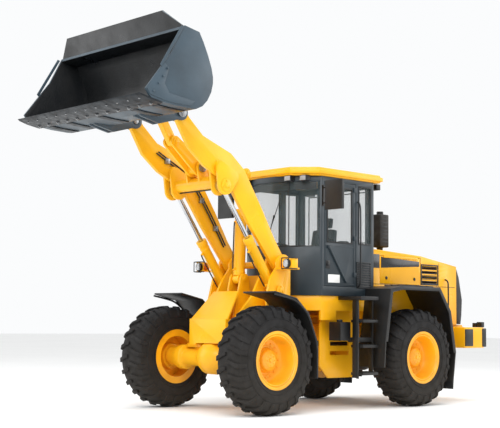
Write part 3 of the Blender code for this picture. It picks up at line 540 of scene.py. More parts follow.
def bolt(centre, toward, size=0.014):
    """A hex head on its washer; toward is the way it points."""
    centre, toward = Vector(centre), Vector(toward).normalized()
    washer = bar(centre, centre + toward * size * 0.22, size * 1.25, 18, 0.0008)
    head = bar(centre + toward * size * 0.2, centre + toward * size * 0.95, size, 6, 0.0016)
    return [washer, head]


def bolts(centres, toward, size=0.014):
    """One bolt, then a copy at each of the other places."""
    centres = [Vector(c) for c in centres]
    first = joined(bolt(centres[0], toward, size))
    return [first] + [copied(first, c - centres[0]) for c in centres[1:]]


def pin_cap(centre, y, sign, radius, finish_bolts=3):
    """The retaining plate over a linkage pin's end, held by bolts."""
    face = y + sign * 0.014
    plate = across(centre, *ordered(y, face), radius, 28, 0.003)
    nub = across(centre, *ordered(face, face + sign * 0.008), radius * 0.42, 20, 0.002)
    places = []
    for i in range(finish_bolts):
        angle = math.radians(90 + 360 * i / finish_bolts)
        reach = radius * 0.70
        places.append(at(centre[0] + reach * math.cos(angle), face, centre[1] + reach * math.sin(angle)))
    return [plate, nub] + bolts(places, (0, sign, 0), radius * 0.14)


def rim_frame(one, other, width, axis):
    """A flat ring of four bars, such as a window seal, in a thin box; axis is the thin one."""
    low = Vector([min(pair) for pair in zip(one, other)])
    high = Vector([max(pair) for pair in zip(one, other)])
    level, upright = [i for i in range(3) if i != axis]
    edge = min(0.003, (high - low)[axis] * 0.3)
    bars = []
    for run, other_way, short in ((level, upright, 0.0), (upright, level, width)):
        for first in (True, False):
            start, end = low.copy(), high.copy()
            start[run] += short
            end[run] -= short
            if first:
                end[other_way] = low[other_way] + width
            else:
                start[other_way] = high[other_way] - width
            bars.append(block(start, end, edge))
    return joined(bars)


def refined(node, edge=0.004, segments=2, name=None):
    """A copy of a CAD node with its sharp edges rounded; it stands for the node."""
    source = frame["nodes"][node]
    only(source)
    bpy.ops.object.duplicate(linked=False)
    obj = bpy.context.active_object
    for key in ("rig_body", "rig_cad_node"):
        if key in obj:
            del obj[key]
    obj.parent = None
    obj.data.materials.clear()
    only(obj)
    bpy.ops.object.mode_set(mode="EDIT")
    bpy.ops.mesh.select_all(action="SELECT")
    bpy.ops.mesh.remove_doubles(threshold=0.00003)
    bpy.ops.mesh.dissolve_limited(angle_limit=math.radians(1.0))
    bpy.ops.object.mode_set(mode="OBJECT")
    obj.name = name or node + "_finished"
    softened(obj, edge, segments)
    return obj


def shown(obj, name, body, finish, replaces=()):
    """Names a finished piece, gives it its finish, and fastens it to its body."""
    obj.name = name
    obj.data.name = name
    obj.data.materials.clear()
    obj.data.materials.append(FINISHES[finish])
    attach(obj, body)
    if replaces:
        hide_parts(*replaces)
    return obj


def paired(make, name, body, finish):
    """One piece of what make(sign) gives on each side of the machine."""
    return shown(joined(both_sides(make)), name, body, finish)


def dressed(node, body, finish, edge=0.004, segments=2):
    """The refined copy of a node, finished and fastened."""
    return shown(refined(node, edge, segments), node + "_skin", body, finish, (node,))


# Wheels

# A lug's top against its foot, and how far it stands out of the side wall.
LUG_TAPER = 0.86
WALL_LUG = 0.010


def tread_profile():
    """Half section of the carcass under the lugs, crown to bead: (distance out from the middle, radius)."""
    return [(0.0, 0.715), (0.10, 0.713), (0.17, 0.702), (0.222, 0.672), (0.243, 0.61), (0.252, 0.54)]


def tyre_carcass(centre):
    """The casing: crown, shoulders, bulging walls with moulded ribs, and beads on the rim."""
    outer = tread_profile() + [(0.250, 0.47), (0.238, 0.42), (0.244, 0.412), (0.236, 0.400), (0.216, 0.385)]
    wall = [(r, y) for y, r in outer]
    mirrored = [(r, -y) for r, y in wall[:0:-1]]
    inside = [(0.3285, -0.2126), (0.3285, 0.2126)]
    return spun(mirrored[:0:-1][::-1] + wall + inside[::-1], centre, 96, 0.0)


def tread_lug(centre, side):
    """One rock lug: from the middle of the crown, bent forward, over the shoulder and down the wall."""
    detail = bpy.context.scene.loader_detail
    stations = [(0.012, 0.0), (0.085, 1.2), (0.155, 3.6), (0.212, 5.2), (0.240, 5.6), (0.250, 5.6)]
    base = [0.712, 0.710, 0.702, 0.676, 0.630, 0.585]
    crown = [TYRE_RADIUS, TYRE_RADIUS - 0.002, TYRE_RADIUS - 0.008, TYRE_RADIUS - 0.030, 0.640, 0.588]
    spread = [3.6, 4.1, 4.6, 5.0, 4.9, 4.6]
    bpy.ops.object.select_all(action="DESELECT")
    bpy.ops.mesh.primitive_grid_add(x_subdivisions=len(stations) - 1, y_subdivisions=1, size=1)
    obj = bpy.context.active_object
    count = len(stations)
    only(obj)
    bpy.ops.object.mode_set(mode="EDIT")
    bpy.ops.mesh.select_all(action="SELECT")
    bpy.ops.mesh.extrude_region_move(TRANSFORM_OT_translate={"value": (0, 0, 1)})
    bpy.ops.object.mode_set(mode="OBJECT")
    for vertex in obj.data.vertices:
        i = min(count - 1, max(0, round((vertex.co.x + 0.5) * (count - 1))))
        edge = 1 if vertex.co.y > 0 else -1
        top = vertex.co.z > 0.5
        out, bend = stations[i]
        radius = crown[i] if top else base[i]
        half = spread[i] * detail.lug_width / 2 * (LUG_TAPER if top else 1.0)
        reach = side * (out + (WALL_LUG if top and i >= 4 else 0.0))
        angle = math.radians(bend + edge * half)
        vertex.co = centre + Vector((radius * math.sin(angle), reach, radius * math.cos(angle)))
    only(obj)
    bpy.ops.object.mode_set(mode="EDIT")
    bpy.ops.mesh.select_all(action="SELECT")
    bpy.ops.mesh.normals_make_consistent(inside=False)
    bpy.ops.object.mode_set(mode="OBJECT")
    return softened(obj, 0.006, 2, 40)


def build_tyre(centre):
    detail = bpy.context.scene.loader_detail
    count = detail.lug_count
    left = repeated(tread_lug(centre, 1), count, centre)
    right = tread_lug(centre, -1)
    half_pitch = Matrix.Rotation(math.pi / count, 4, "Y")
    right.data.transform(Matrix.Translation(centre) @ half_pitch @ Matrix.Translation(-centre))
    right = repeated(right, count, centre)
    rings = []
    for side in (1, -1):
        for radius in (0.565, 0.455):
            loop = [(radius + 0.006, side * 0.2475), (radius, side * 0.2555),
                    (radius - 0.006, side * 0.2475)]
            rings.append(spun(loop, centre, 96))
    return joined([tyre_carcass(centre), left, right] + rings)


def build_rim(centre, side):
    """A deep dished three-piece rim: flange, lock ring, barrel, disc, nuts and the domed hub."""
    shape = [(0.0, -0.10), (0.18, -0.13), (0.20, -0.06), (0.30, -0.03), (0.30, -0.225), (0.340, -0.225)]
    shape += [(0.400, -0.232), (0.405, -0.222), (0.392, -0.2132), (0.327, -0.2132), (0.327, 0.2132)]
    shape += [(0.392, 0.2132), (0.405, 0.222), (0.402, 0.233), (0.386, 0.236), (0.362, 0.231),
              (0.350, 0.214)]
    shape += [(0.343, 0.222), (0.330, 0.222), (0.322, 0.205), (0.312, 0.12), (0.302, 0.045), (0.285, 0.018)]
    shape += [(0.255, 0.006), (0.205, 0.004), (0.196, 0.012), (0.176, 0.012), (0.168, 0.030),
              (0.152, 0.040)]
    shape += [(0.146, 0.075), (0.130, 0.092), (0.095, 0.102), (0.088, 0.110), (0.040, 0.112), (0.0, 0.113)]
    rim = spun([(r, side * y) for r, y in shape], centre, 72, 0.0)
    face = centre + Vector((0, side * 0.006, 0.232))
    nuts = joined(bolt(face, (0, side, 0), 0.0125))
    repeated(nuts, 16, centre)
    plug = joined(bolt(centre + Vector((0, side * 0.112, 0.068)), (0, side, 0), 0.008))
    repeated(plug, 8, centre)
    cap = bar(centre + Vector((0, side * 0.110, 0)), centre + Vector((0, side * 0.124, 0)), 0.030, 24,
              0.003)
    stem = bar(centre + Vector((0.285, side * 0.05, 0.10)), centre + Vector((0.262, side * 0.10, 0.092)),
               0.006, 12, 0.001)
    return joined([rim, nuts, plug, cap, stem])


def build_wheels():
    first_low, first_high = TYRES["front"]
    centre = (first_low + first_high) / 2
    tyre = build_tyre(centre)
    rims = {1: build_rim(centre, 1), -1: build_rim(centre, -1)}
    turns = {("front", 1): 0, ("front", -1): 37, ("rear", 1): 11, ("rear", -1): 64}
    for end in ("front", "rear"):
        low, high = TYRES[end]
        for sign, side in SIDES:
            place = Vector(((low.x + high.x) / 2, sign * (low.y + high.y) / 2, TYRE_RADIUS))
            body = "wheel_%s_%s" % (end, side)
            for kind, source in (("tyre", tyre), ("rim", rims[sign])):
                piece = copied(source, place - centre)
                turn = Matrix.Rotation(math.radians(turns[(end, sign)]), 4, "Y")
                piece.data.transform(Matrix.Translation(place) @ turn @ Matrix.Translation(-place))
                finish, slot = ("tyre", "rubber") if kind == "tyre" else ("wheel_enamel", "yellow")
                node = "%s_%s_%s" % (kind, end, side)
                shown(piece, node + "_skin", body, finish, (node,))
    for source in (tyre, rims[1], rims[-1]):
        bpy.data.objects.remove(source, do_unlink=True)


# Bucket and arms


def bowl_faces(obj):
    """Gives the faces that line the bowl their own finish."""
    obj.data.materials.append(FINISHES["bowl"])
    heart = at(3.45, 0, 4.45)
    for face in obj.data.polygons:
        spot, way = face.center, face.normal
        sideways = abs(way.y) > 0.5
        lining = not sideways and abs(spot.y) < 1.345 and (heart - spot).dot(way) > 0.02 and spot.z > 3.93
        wall = sideways and way.y * spot.y < 0 and 1.30 < abs(spot.y) < 1.35
        if lining or wall:
            face.material_index = 1


def build_bucket():
    shell = dressed("bucket_shell", "bucket", "bucket_paint", 0.005)
    bowl_faces(shell)
    dressed("cutting_edge", "bucket", "wear_plate", 0.003)
    low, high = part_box("bucket_shell")
    wide = high.y

    def cheek(sign):
        outline = [(3.925, 4.035), (3.978, 4.105), (3.70, 4.462), (3.63, 4.405), (3.70, 4.20), (3.62, 4.09)]
        outline += [(3.20, 4.045), (3.27, 3.975), (3.52, 3.974), (3.70, 3.990)]
        plate = cut_plate(outline, *ordered(sign * (wide + 0.0005), sign * (wide + 0.012)))
        cutter = cut_plate([(3.745, 4.40), (3.775, 4.43), (3.44, 4.985), (3.40, 4.975)],
                           *ordered(sign * (wide + 0.0005), sign * (wide + 0.011)))
        places = [at(x, sign * (wide + 0.012), z) for x,
                  z in ((3.88, 4.08), (3.80, 4.19), (3.73, 4.29), (3.66, 4.40))]
        return [plate, cutter] + bolts(places, (0, sign, 0), 0.016)

    paired(cheek, "bucket_side_plates", "bucket", "bucket_paint")
    edge_bolts = []
    count = 12
    places = [at(3.800, -1.24 + 2.48 * i / (count - 1), 3.9535) for i in range(count)]
    edge_bolts += bolts(places, (0.16, 0, -1), 0.020)
    places = [at(3.985, -1.24 + 2.48 * i / (count - 1), 3.9965) for i in range(count)]
    edge_bolts += bolts(places, (0.30, 0, -1), 0.013)
    shown(joined(edge_bolts), "bucket_edge_bolts", "bucket", "zinc")
    strips = []
    for y in (-1.16, -0.72, 0.0, 0.72, 1.16):
        outline = [(3.22, 3.9440), (3.245, 3.930), (3.50, 3.935), (3.665, 3.950), (3.680, 3.9625)]
        strips.append(cut_plate(outline, y - 0.06, y + 0.06))
    shown(joined(strips), "bucket_wear_strips", "bucket", "wear_plate")
    ribs = []
    for y in (-0.93, -0.25, 0.25, 0.93):
        outline = [(2.888, 4.32), (2.888, 4.40), (2.913, 4.513), (2.981, 4.682), (3.057, 4.833),
                   (3.12, 4.935)]
        outline += [(3.105, 4.945), (3.03, 4.845), (2.950, 4.69), (2.880, 4.52), (2.855, 4.40),
                    (2.860, 4.32)]
        ribs.append(cut_plate(outline, y - 0.010, y + 0.010))
    shown(joined(ribs), "bucket_back_ribs", "bucket", "bucket_paint")


def build_arms():
    dressed("boom", "boom", "arm_enamel", 0.006)
    dressed("bellcrank", "bellcrank", "arm_enamel", 0.005)
    dressed("tilt_link", "tilt_link", "arm_enamel", 0.005)
    for node, body in (("bellcrank_pin", "bellcrank_pin"), ("link_pin", "link_pin"),
                       ("bucket_pin_left", "bucket_pins"), ("bucket_pin_right", "bucket_pins")):
        dressed(node, body, "zinc", 0.003)

    def caps(sign):
        outer = pin_cap(LIFT_TOP, sign * 0.590, sign, 0.088)
        inner = pin_cap(LIFT_TOP, sign * 0.410, -sign, 0.070)
        return outer + inner

    paired(caps, "boom_pin_caps", "boom", "arm_enamel")
    paired(lambda s: pin_cap(BUCKET_PIN, s * 0.585, s, 0.070, 2), "bucket_pin_caps", "bucket_pins", "zinc")
    for name, pin, out, size, body, finish, slot in (
        ("crank_pin_caps", CRANK_PIN, 0.155, 0.066, "bellcrank_pin", "zinc", "steel"),
        ("crank_foot_caps", CRANK_FOOT, 0.095, 0.056, "bellcrank", "arm_enamel", "boom_yellow"),
        ("crank_top_caps", CRANK_TOP, 0.095, 0.056, "bellcrank", "arm_enamel", "boom_yellow"),
    ):
        paired(lambda sign: pin_cap(pin, sign * out, sign, size), name, body, finish)

    def pipes(sign):
        """Steel grease and hydraulic lines clipped to the inner face of the arm."""
        made = []
        for drop, radius in ((0.0, 0.011), (0.034, 0.011)):
            run = [(0.98, 2.40), (1.12, 2.62), (1.40, 3.02), (1.62, 3.30), (1.82, 3.45), (2.10, 3.58),
                   (2.30, 3.68)]
            points = [at(x + drop, sign * 0.450, z - drop * 0.7) for x, z in run]
            made.append(tube(points, radius))
        return made

    paired(pipes, "boom_pipes", "boom", "epdm")

    def clips(sign):
        made = []
        for x, z in ((1.165, 2.66), (1.45, 3.06), (2.12, 3.575)):
            made.append(side_block(x - 0.03, x + 0.06, 0.436, 0.4705, z - 0.055, z + 0.025, sign, 0.004))
            made += bolts([at(x + 0.015, sign * 0.436, z - 0.012)], (0, -sign, 0), 0.008)
        return made

    paired(clips, "boom_pipe_clips", "boom", "zinc")
    cross = tube([at(1.93, -0.44 + 0.11 * i, 3.108) for i in range(9)], 0.010)
    shown(cross, "boom_cross_pipes", "boom", "epdm")
    grease = []
    for x, z in ((1.93, 3.24), (0.86, 2.20)):
        for sign, _ in SIDES:
            grease.append(bar(at(x, sign * 0.530, z), at(x, sign * 0.545, z), 0.008, 12, 0.002))
    shown(joined(grease), "boom_grease_nipples", "boom", "zinc")


def along(base, tip, distance, y=0.0):
    run = Vector((tip[0] - base[0], tip[1] - base[1])).normalized()
    return at(base[0] + run.x * distance, y, base[1] + run.y * distance)


def cylinder_trim(base, tip, y, radius, length, name, body):
    """Gland nut, weld bands, oil ports and the hard pipe that runs along a cylinder's barrel."""
    run = Vector((tip[0] - base[0], 0, tip[1] - base[1])).normalized()
    up = Vector((run.z, 0, -run.x))
    trim = []
    for place, wide, proud in ((0.085, 0.025, 0.006), (length - 0.10, 0.018, 0.005),
                               (length + 0.012, 0.022, 0.010)):
        start = along(base, tip, place, y)
        trim.append(bar(start, start + run * wide, radius + proud, 32, 0.003))
    for place in (0.14, length - 0.14):
        foot = along(base, tip, place, y) + up * (radius * 0.9)
        trim.append(bar(foot, foot + up * 0.035, 0.020, 18, 0.003))
        trim.append(bar(foot + up * 0.030, foot + up * 0.052, 0.016, 6, 0.002))
    shown(joined(trim), name + "_trim", body, "arm_enamel")
    reach = radius * 0.9 + 0.048
    points = [along(base, tip, 0.14, y) + up * (reach - 0.004)]
    points += [along(base, tip, 0.145 + (length - 0.29) * i / 4,
                     y) + up * (reach + 0.008) for i in range(5)]
    points += [along(base, tip, length - 0.14, y) + up * (reach - 0.004)]
    shown(tube(points, 0.010), name + "_pipe", body, "epdm")


def build_cylinders():
    for sign, side in SIDES:
        name = "lift_barrel_" + side
        dressed(name, name, "arm_enamel", 0.003)
        cylinder_trim(LIFT_BASE, LIFT_TOP, sign * 0.5, 0.070, 0.86, name, name)
        dressed("lift_rod_" + side, "lift_rod_" + side, "chrome", 0.002)
        dressed("steer_barrel_" + side, "steer_barrel_" + side, "chassis_black", 0.002)
        dressed("steer_rod_" + side, "steer_rod_" + side, "chrome", 0.002)
    dressed("tilt_barrel", "tilt_barrel", "arm_enamel", 0.003)
    cylinder_trim(TILT_BASE, CRANK_TOP, 0.0, 0.085, 0.97, "tilt_barrel", "tilt_barrel")
    dressed("tilt_rod", "tilt_rod", "chrome", 0.002)


# Chassis


def lamp_round(centre, way, radius, depth, name, body):
    """A round work lamp: pressed bowl, bright reflector and a domed lens in its bezel."""
    centre, way = Vector(centre), Vector(way).normalized()
    back = bar(centre - way * depth, centre, radius, 32, depth * 0.25)
    bezel = bar(centre - way * 0.004, centre + way * 0.010, radius * 1.06, 32, 0.004)
    shown(joined([back, bezel]), name + "_housing", body, "chassis_black")
    shown(bar(centre + way * 0.0085, centre + way * 0.0125, radius * 0.88, 32, 0.001), name + "_bowl",
          body, "bowl_bright")
    shown(bar(centre + way * 0.0128, centre + way * 0.020, radius * 0.90, 32, 0.004), name + "_lens", body,
          "lens")


def lamp_box(low, high, way, name, body, finish="lens"):
    """A square lamp; way is +1 when it looks ahead and -1 when it looks back."""
    low, high = Vector(low), Vector(high)
    shown(block(low, high, 0.006, 3), name + "_housing", body, "chassis_black")
    inset = 0.008
    face = high.x if way > 0 else low.x
    near, far = ordered(face, face + way * 0.006)
    lens_piece = block((near, low.y + inset, low.z + inset), (far, high.y - inset, high.z - inset), 0.002)
    shown(lens_piece, name + "_lens", body, finish)


def build_front():
    dressed("front_frame", "front_body", "enamel", 0.005)
    dressed("front_axle", "front_body", "enamel", 0.006)
    for _, side in SIDES:
        dressed("front_fender_" + side, "front_body", "moulded_black", 0.005)

    def caps(sign):
        made = pin_cap(BOOM_PIN, sign * 0.645, sign, 0.095)
        made += pin_cap(LIFT_BASE, sign * 0.640, sign, 0.075)
        return made

    paired(caps, "tower_pin_caps", "front_body", "enamel")

    def fender_trim(sign):
        made = []
        ribs = [((1.60, 1.664), (1.28, 1.602)), ((1.22, 1.580), (1.03, 1.417)),
                ((0.985, 1.355), (0.845, 1.03))]
        for (x0, z0), (x1, z1) in ribs:
            for y in (0.82, 0.98, 1.14):
                made.append(tube([at(x0, sign * y, z0), at((x0 + x1) / 2, sign * y, (z0 + z1) / 2 + 0.004),
                                  at(x1, sign * y, z1)], 0.009, 2))
        return made

    paired(fender_trim, "front_fender_ribs", "front_body", "moulded_black")

    def fender_edge(sign):
        path = [(1.655, 1.640), (1.44, 1.605), (1.24, 1.560), (1.10, 1.46), (0.995, 1.365), (0.90, 1.16),
                (0.815, 0.96)]
        path += [(0.812, 0.72), (0.812, 0.49)]
        return [tube([at(x, sign * 1.296, z) for x, z in path], 0.014, 3)]

    paired(fender_edge, "front_fender_lips", "front_body", "epdm")
    for sign, side in SIDES:
        lamp_round(at(1.075, sign * 0.94, 2.09), (1, 0, 0), 0.062, 0.06, "headlamp_" + side, "front_body")
        low, high = ordered(sign * 0.835, sign * 0.865)
        shown(block(at(0.985, low, 2.045), at(1.045, high, 2.135), 0.008, 3),
              "front_indicator_" + side, "front_body", "amber")

    def lamp_guard(sign):
        made = []
        for z in (2.015, 2.165):
            points = [at(0.95, sign * 1.03, z), at(1.04, sign * 1.035, z), at(1.115, sign * 1.01, z),
                      at(1.125, sign * 0.94, z), at(1.115, sign * 0.87, z), at(1.05, sign * 0.845, z)]
            made.append(tube(points, 0.007, 2))
        for y, x in ((1.01, 1.112), (0.875, 1.112)):
            made.append(bar(at(x, sign * y, 2.012), at(x, sign * y, 2.168), 0.007, 12, 0.001))
        return made

    paired(lamp_guard, "headlamp_guards", "front_body", "chassis_black")

    def plate_bolts(sign):
        places = [at(x, sign * 0.63, z) for x,
                  z in ((0.78, 1.12), (0.98, 1.12), (0.78, 1.36), (1.02, 1.36), (0.78, 1.62))]
        return bolts(places, (0, sign, 0), 0.014)

    paired(plate_bolts, "tower_bolts", "front_body", "enamel")
    hoses = []
    for sign, _ in SIDES:
        for shift in (0.0, 0.035, 0.07):
            points = [at(0.735, sign * (0.20 + shift), 1.30), at(0.80, sign * (0.20 + shift), 1.42),
                      at(0.86, sign * (0.215 + shift), 1.58), at(0.90, sign * (0.24 + shift), 1.72),
                      at(0.90, sign * (0.27 + shift * 0.5), 1.84),
                      at(0.86, sign * (0.30 + shift * 0.4), 1.94),
                      at(0.82, sign * (0.335 + shift * 0.3), 2.00)]
            hoses.append(tube(points, 0.014, 3))
    shown(joined(hoses), "tower_hoses", "front_body", "epdm")
    seam = []
    for y in (-0.18, 0.18):
        seam += bolts([at(1.55, y, 1.3005)], (0, 0, 1), 0.014)
    shown(joined(seam), "tower_foot_bolts", "front_body", "enamel")


def build_rear():
    dressed("rear_frame", "rear_body", "enamel", 0.004)
    dressed("rear_axle", "rear_body", "casting", 0.006)
    dressed("counterweight", "rear_body", "enamel", 0.018, 3)
    low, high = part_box("counterweight")
    edge = high.y

    def bumper(sign):
        """The black end blocks of the counterweight."""
        near, far = ordered(sign * (edge - 0.16), sign * (edge + 0.006))
        return [block((low.x - 0.012, near, 0.885), (low.x + 0.11, far, 1.195), 0.012, 3)]

    paired(bumper, "counterweight_bumpers", "rear_body", "chassis_black")

    # A black plate over the front of each counterweight wing: painted shade, for the shadow on the
    # counterweight's front face.
    def cheek(sign):
        return [side_block(-3.30, -3.085, 0.975, 0.992, 0.90, 1.18, sign, 0.006)]

    paired(cheek, "counterweight_front_painted_shade", "rear_body", "chassis_black")
    for sign, side in SIDES:
        a, b = ordered(sign * 0.865, sign * 0.970)
        lamp_box(at(-3.645, a, 1.212), at(-3.57, b, 1.30), -1, "tail_lamp_" + side, "rear_body", "red")
        a, b = ordered(sign * 0.775, sign * 0.850)
        lamp_box(at(-3.64, a, 1.212), at(-3.575, b, 1.285), -1, "rear_indicator_" + side, "rear_body",
                 "amber")
    hitch = [bar(at(-3.69, 0, 1.20), at(-3.69, 0, 1.222), 0.035, 24, 0.004)]
    hitch += [block(at(-3.72, -0.09, 1.12), at(-3.665, 0.09, 1.145), 0.006),
              block(at(-3.72, -0.09, 0.96), at(-3.665, 0.09, 0.985), 0.006)]
    hitch += [bar(at(-3.697, 0, 0.94), at(-3.697, 0, 1.20), 0.020, 24, 0.004)]
    shown(joined(hitch), "tow_pin", "rear_body", "chassis_black")
    for sign, side in SIDES:
        dressed("rear_fender_" + side, "rear_body", "moulded_black", 0.005)
        dressed("ladder_" + side, "rear_body", "chassis_black", 0.004)

    def fender_ribs(sign):
        made = []
        for y in (0.92, 1.05, 1.18):
            made.append(tube([at(-1.10, sign * y, 1.842), at(-1.5, sign * y, 1.844),
                              at(-1.96, sign * y, 1.842)], 0.010, 2))
        for x in (-1.20, -1.45, -1.70, -1.95):
            made += bolts([at(x, sign * 1.262, 1.840)], (0, 0, 1), 0.009)
        return made

    paired(fender_ribs, "rear_fender_ribs", "rear_body", "moulded_black")

    def flap(sign):
        outline = [(-2.405, 0.84), (-2.385, 0.86), (-2.318, 0.37), (-2.338, 0.24), (-2.350, 0.24)]
        return [cut_plate(outline, *ordered(sign * 0.84, sign * 1.28), edge=0.002)]

    paired(flap, "mud_flaps", "rear_body", "epdm")

    def steps(sign):
        """Serrated treads over the flat steps, and the stringer's tube."""
        made = []
        for z in (0.54, 0.94, 1.31):
            for i in range(8):
                x = -0.565 + 0.04 * i
                made.append(side_block(x, x + 0.010, 0.99, 1.21, z - 0.002, z + 0.012, sign, 0.002))
        made += [tube([at(-0.235, sign * 1.125, 0.45), at(-0.235, sign * 1.128, 1.0),
                       at(-0.235, sign * 1.125, 1.63)], 0.020, 3)]
        return made

    paired(steps, "step_treads", "rear_body", "chassis_black")

    def fuel_cap(sign):
        return [bar(at(-0.11, sign * 0.88, 1.274), at(-0.11, sign * 0.88, 1.31), 0.045, 24, 0.006)]

    paired(fuel_cap, "tank_caps", "rear_body", "chassis_black")
    shown(across((-1.585, 0.745), -0.05, 0.05, 0.05), "rear_axle_plug", "rear_body", "zinc")


def build_hood():
    dressed("hood", "rear_body", "enamel", 0.006, 2)
    low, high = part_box("hood")
    wide = high.y
    for sign, side in SIDES:
        dressed("hood_door_" + side, "hood_door_" + side, "enamel", 0.003)
        outline = [(-1.39, 2.135), (-1.39, 2.310), (-2.36, 2.268), (-2.36, 2.19)]
        face = sign * 0.602
        band = cut_plate(outline, *ordered(face + sign * 0.0003, face + sign * 0.0023), edge=0.0006)
        shown(band, "hood_band_" + side, "hood_door_" + side, "band")
        latch = [bar(at(x, sign * 0.602, 1.98), at(x, sign * 0.612, 1.98), 0.026, 24,
                     0.003) for x in (-1.52, -2.23)]
        latch += [side_block(x - 0.006, x + 0.006, 0.610, 0.616, 1.963, 1.997, sign,
                             0.002) for x in (-1.52, -2.23)]
        shown(joined(latch), "hood_latches_" + side, "hood_door_" + side, "chassis_black")

    def strip(sign):
        outline = [(-1.07, 2.125), (-1.07, 2.345), (-1.355, 2.345), (-1.355, 2.13)]
        return [cut_plate(outline, *ordered(sign * wide, sign * (wide + 0.002)), edge=0.0006)]

    paired(strip, "hood_band_fronts", "rear_body", "band")

    def slats(sign):
        made = [rim_frame(at(-2.865, sign * (wide - 0.004), 1.895),
                          at(-2.405, sign * (wide + 0.008), 2.235), 0.022, 1)]
        for i in range(9):
            z = 1.925 + i * 0.033
            slat = [(wide - 0.030, z + 0.014), (wide + 0.004, z - 0.006), (wide + 0.004, z + 0.002)]
            slat.append((wide - 0.026, z + 0.020))
            made.append(side_plate(slat, -2.845, -2.425, sign, 0.0012))
        return made

    paired(slats, "side_grilles", "rear_body", "chassis_black")

    def seams(sign):
        """The dark rubber lines where the hood's panels meet."""
        made = []
        for x, top in ((-2.395, 2.36), (-2.885, 2.29)):
            made.append(side_block(x - 0.004, x + 0.004, wide - 0.002, wide + 0.0012, 1.28, top - 0.02,
                                   sign, 0.0005))
        made.append(side_block(-3.33, -1.10, wide - 0.002, wide + 0.0012, 1.872, 1.880, sign, 0.0005))
        return made

    paired(seams, "hood_seams", "rear_body", "epdm")

    def handle(sign):
        return [tube([at(-3.06, sign * 0.598, 1.46), at(-3.06, sign * 0.66, 1.47),
                      at(-3.06, sign * 0.665, 1.60),
                      at(-3.06, sign * 0.665, 1.86), at(-3.06, sign * 0.66, 1.99),
                      at(-3.06, sign * 0.598, 2.00)], 0.013, 3)]

    paired(handle, "rear_grab_handles", "rear_body", "chassis_black")
    dressed("grille_door", "grille_door", "chassis_black", 0.006)
    bars = []
    for i in range(11):
        z = 1.365 + i * 0.068
        x = -3.462 if z < 1.9 else -3.450
        bars.append(tube([at(x, -0.531, z), at(x - 0.012, -0.27, z), at(x - 0.014, 0, z),
                          at(x - 0.012, 0.27, z),
                          at(x, 0.531, z)], 0.009, 2))
    for y in (-0.27, 0, 0.27):
        bars.append(block(at(-3.458, y - 0.012, 1.312), at(-3.438, y + 0.012, 2.098), 0.003))
    shown(joined(bars), "grille_bars", "grille_door", "chassis_black")
    core = block(at(-3.34, -0.515, 1.315), at(-3.26, 0.515, 2.115), 0.010)
    shown(core, "cooler_core", "rear_body", "fins")
    dressed("exhaust_stack", "rear_body", "exhaust", 0.022, 3)
    flap_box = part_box("exhaust_stack")
    top = flap_box[1]
    cx = (flap_box[0].x + flap_box[1].x) / 2
    cy = (flap_box[0].y + flap_box[1].y) / 2
    slots = []
    for i in range(7):
        z = 2.58 + i * 0.062
        for sign in (1, -1):
            near, far = ordered(cy + sign * 0.0995, cy + sign * 0.103)
            slots.append(block((cx - 0.075, near, z), (cx + 0.075, far, z + 0.020), 0.001))
    slots.append(bar((cx, cy, top.z - 0.002), (cx, cy, top.z + 0.05), 0.055, 28, 0.006))
    shown(joined(slots), "exhaust_slots", "rear_body", "chassis_black")
    dressed("engine_block", "rear_body", "casting", 0.012)
    intake = [bar(at(-1.50, -0.30, 2.40), at(-1.50, -0.30, 2.52), 0.055, 28, 0.006),
              bar(at(-1.50, -0.30, 2.51), at(-1.50, -0.30, 2.60), 0.095, 32, 0.020)]
    shown(joined(intake), "air_precleaner", "rear_body", "moulded_black")


# Cab

# The cab's side wall, and how far out its window seals stand.
CAB_SIDE = 0.7995
SEAL_OUT = 0.806


def cab_seal(low, high, width, axis, name, body="rear_body"):
    shown(rim_frame(low, high, width, axis), name, body, "epdm")


